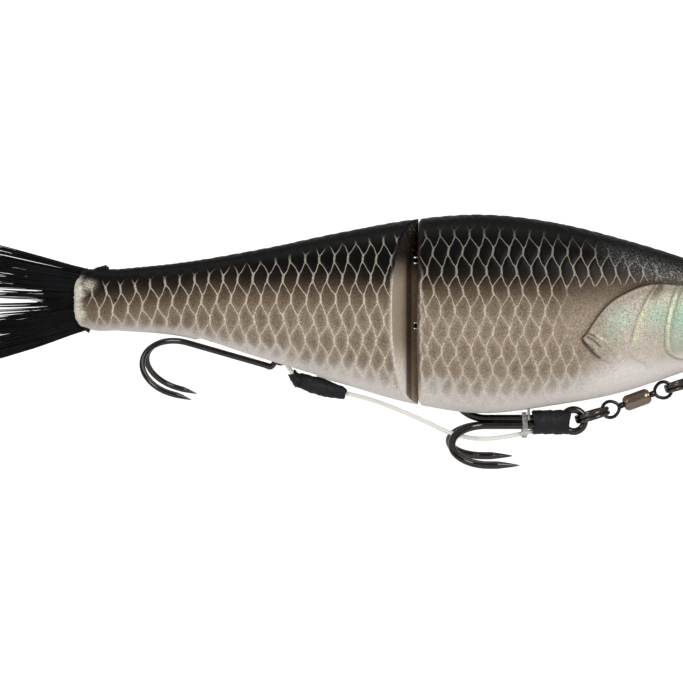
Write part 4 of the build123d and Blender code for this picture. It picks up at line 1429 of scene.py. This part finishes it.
def makeBristles():
    draw = np.random.default_rng(brush["seed"])
    parts = []
    for _ in range(brush["count"]):
        share = draw.uniform(0, 1)
        share = share + 0.05 * math.sin(share * 2 * math.pi)
        centreGap = abs(share - 0.5) * 2
        if centreGap < 0.28 and draw.uniform() < 0.8:
            reach = draw.uniform(-206, -196)
        elif centreGap < 0.55 and draw.uniform() < 0.5:
            reach = draw.uniform(-219, -205)
        else:
            reach = draw.uniform(-229.0, -222.0) if draw.uniform() < 0.75 else draw.uniform(-222, -206)
        start = brush["rootX"] + draw.uniform(-1.5, 1.0)
        xs = np.linspace(start, reach, 9)
        low, high = fanEdge(xs, "bottom"), fanEdge(xs, "top")
        zs = low + (high - low) * share
        t = np.linspace(0, 1, 9)
        zs = zs + draw.uniform(-0.55, 0.55) * t**2 + draw.uniform(-0.25, 0.25) * np.sin(t * math.pi)
        zs = np.clip(zs, low - 0.2, high + 0.2)
        width = brush["thickness"] / 2
        ys = draw.uniform(-width, width) * (0.55 + 0.45 * t) + draw.uniform(-0.15, 0.15) * t**2
        radius = brush["radius"] * draw.uniform(0.8, 1.15) * (1 - 0.72 * t**2.2)
        parts.append(tubeParts(np.stack([xs, ys, zs], -1), radius, 6))
    piece = joinParts("tailBristles", parts, [bristleNylon], 0)
    assign(piece, "rear_section", "tail_brush")
    print("bristles", len(piece.data.polygons), "faces")


makeTailRoot()
makeBristles()
print("tail done")


# Inner pieces keep their CAD shape
for node, material in (("front_ballast", leadAlloy), ("rear_ballast", leadAlloy),
                       ("front_hook_magnet", magnetPlate), ("rear_hook_magnet", magnetPlate),
                       ("hinge_pin", hingeSteel), ("upper_hinge_eye", hingeSteel),
                       ("lower_hinge_eye", hingeSteel)):
    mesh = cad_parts[node].data
    mesh.materials.clear()
    mesh.materials.append(material)


# Floor, backdrop and light
lights = {"sky": 0.26, "boxes": {
    "topBox": {"place": (-120, -60, 640), "aim": (-120, 0, 0), "size": (760, 360), "energy": 1.4},
    "frontBox": {"place": (300, -720, 380), "aim": (-110, 0, 0), "size": (360, 460), "energy": 3.6},
    "sideBox": {"place": (-620, -520, 260), "aim": (-130, 0, 0), "size": (300, 420), "energy": 1.6}}}
stage = {"floor": -190.0, "back": 900.0, "bend": 400.0, "half": 3500.0, "front": -2500.0, "rise": 2500.0,
         "glow": 0.85, "spill": 0.26}


def makeStage():
    material, tree, shader = newMaterial("paleStage", {"Roughness": 0.9, "Specular IOR Level": 0.1})
    tone = noiseOf(tree, objectPlace(tree), 3.0, 2.0)
    tree.links.new(mixColor(tree, tone, paint(205, 205, 205), paint(200, 200, 200)),
                   shader.inputs["Base Color"])
    shader.inputs["Emission Color"].default_value = (1, 1, 1, 1)
    seen = addNode(tree, "ShaderNodeLightPath").outputs["Is Camera Ray"]
    glow = calc(tree, "MULTIPLY_ADD", seen, stage["glow"] - stage["spill"], stage["spill"])
    tree.links.new(glow, shader.inputs["Emission Strength"])
    behind = addNode(tree, "ShaderNodeNewGeometry").outputs["Backfacing"]
    tree.links.new(calc(tree, "SUBTRACT", 1.0, behind), shader.inputs["Alpha"])     # open from outside
    turn = np.linspace(0, math.pi / 2, 24)
    sweep = [(stage["front"], stage["floor"])]
    sweep += [(stage["back"] + stage["bend"] * math.sin(a),
               stage["floor"] + stage["bend"] * (1 - math.cos(a))) for a in turn]
    sweep.append((stage["back"] + stage["bend"], stage["rise"]))
    points = [(x, y, z) for y, z in sweep for x in (-stage["half"], stage["half"])]
    floor = meshFrom("paleFloor", points, gridFaces(len(sweep), 2), [material], 60)
    if floor.data.polygons[0].normal.z < 0:
        floor.data.flip_normals()


def addSoftbox(name, place, aim, size, energy):
    lamp = bpy.data.lights.new(name, "AREA")
    lamp.shape = "RECTANGLE"
    lamp.size, lamp.size_y = size[0] * mm, size[1] * mm
    lamp.energy = energy
    holder = addObject(name, lamp)
    holder.location = Vector(place) * mm
    holder.rotation_euler = (Vector(aim) - Vector(place)).to_track_quat("-Z", "Y").to_euler()


def lightStudio():
    world = bpy.data.worlds.new("studio")
    bpy.context.scene.world = world
    world.use_nodes = True
    sky = world.node_tree.nodes["Background"]
    sky.inputs["Color"].default_value = (1, 1, 1, 1)
    sky.inputs["Strength"].default_value = lights["sky"]
    for name, box in lights["boxes"].items():
        addSoftbox(name, **box)
    bpy.context.scene.view_settings.view_transform = "Standard"


makeStage()
lightStudio()
print("stage and lights done")
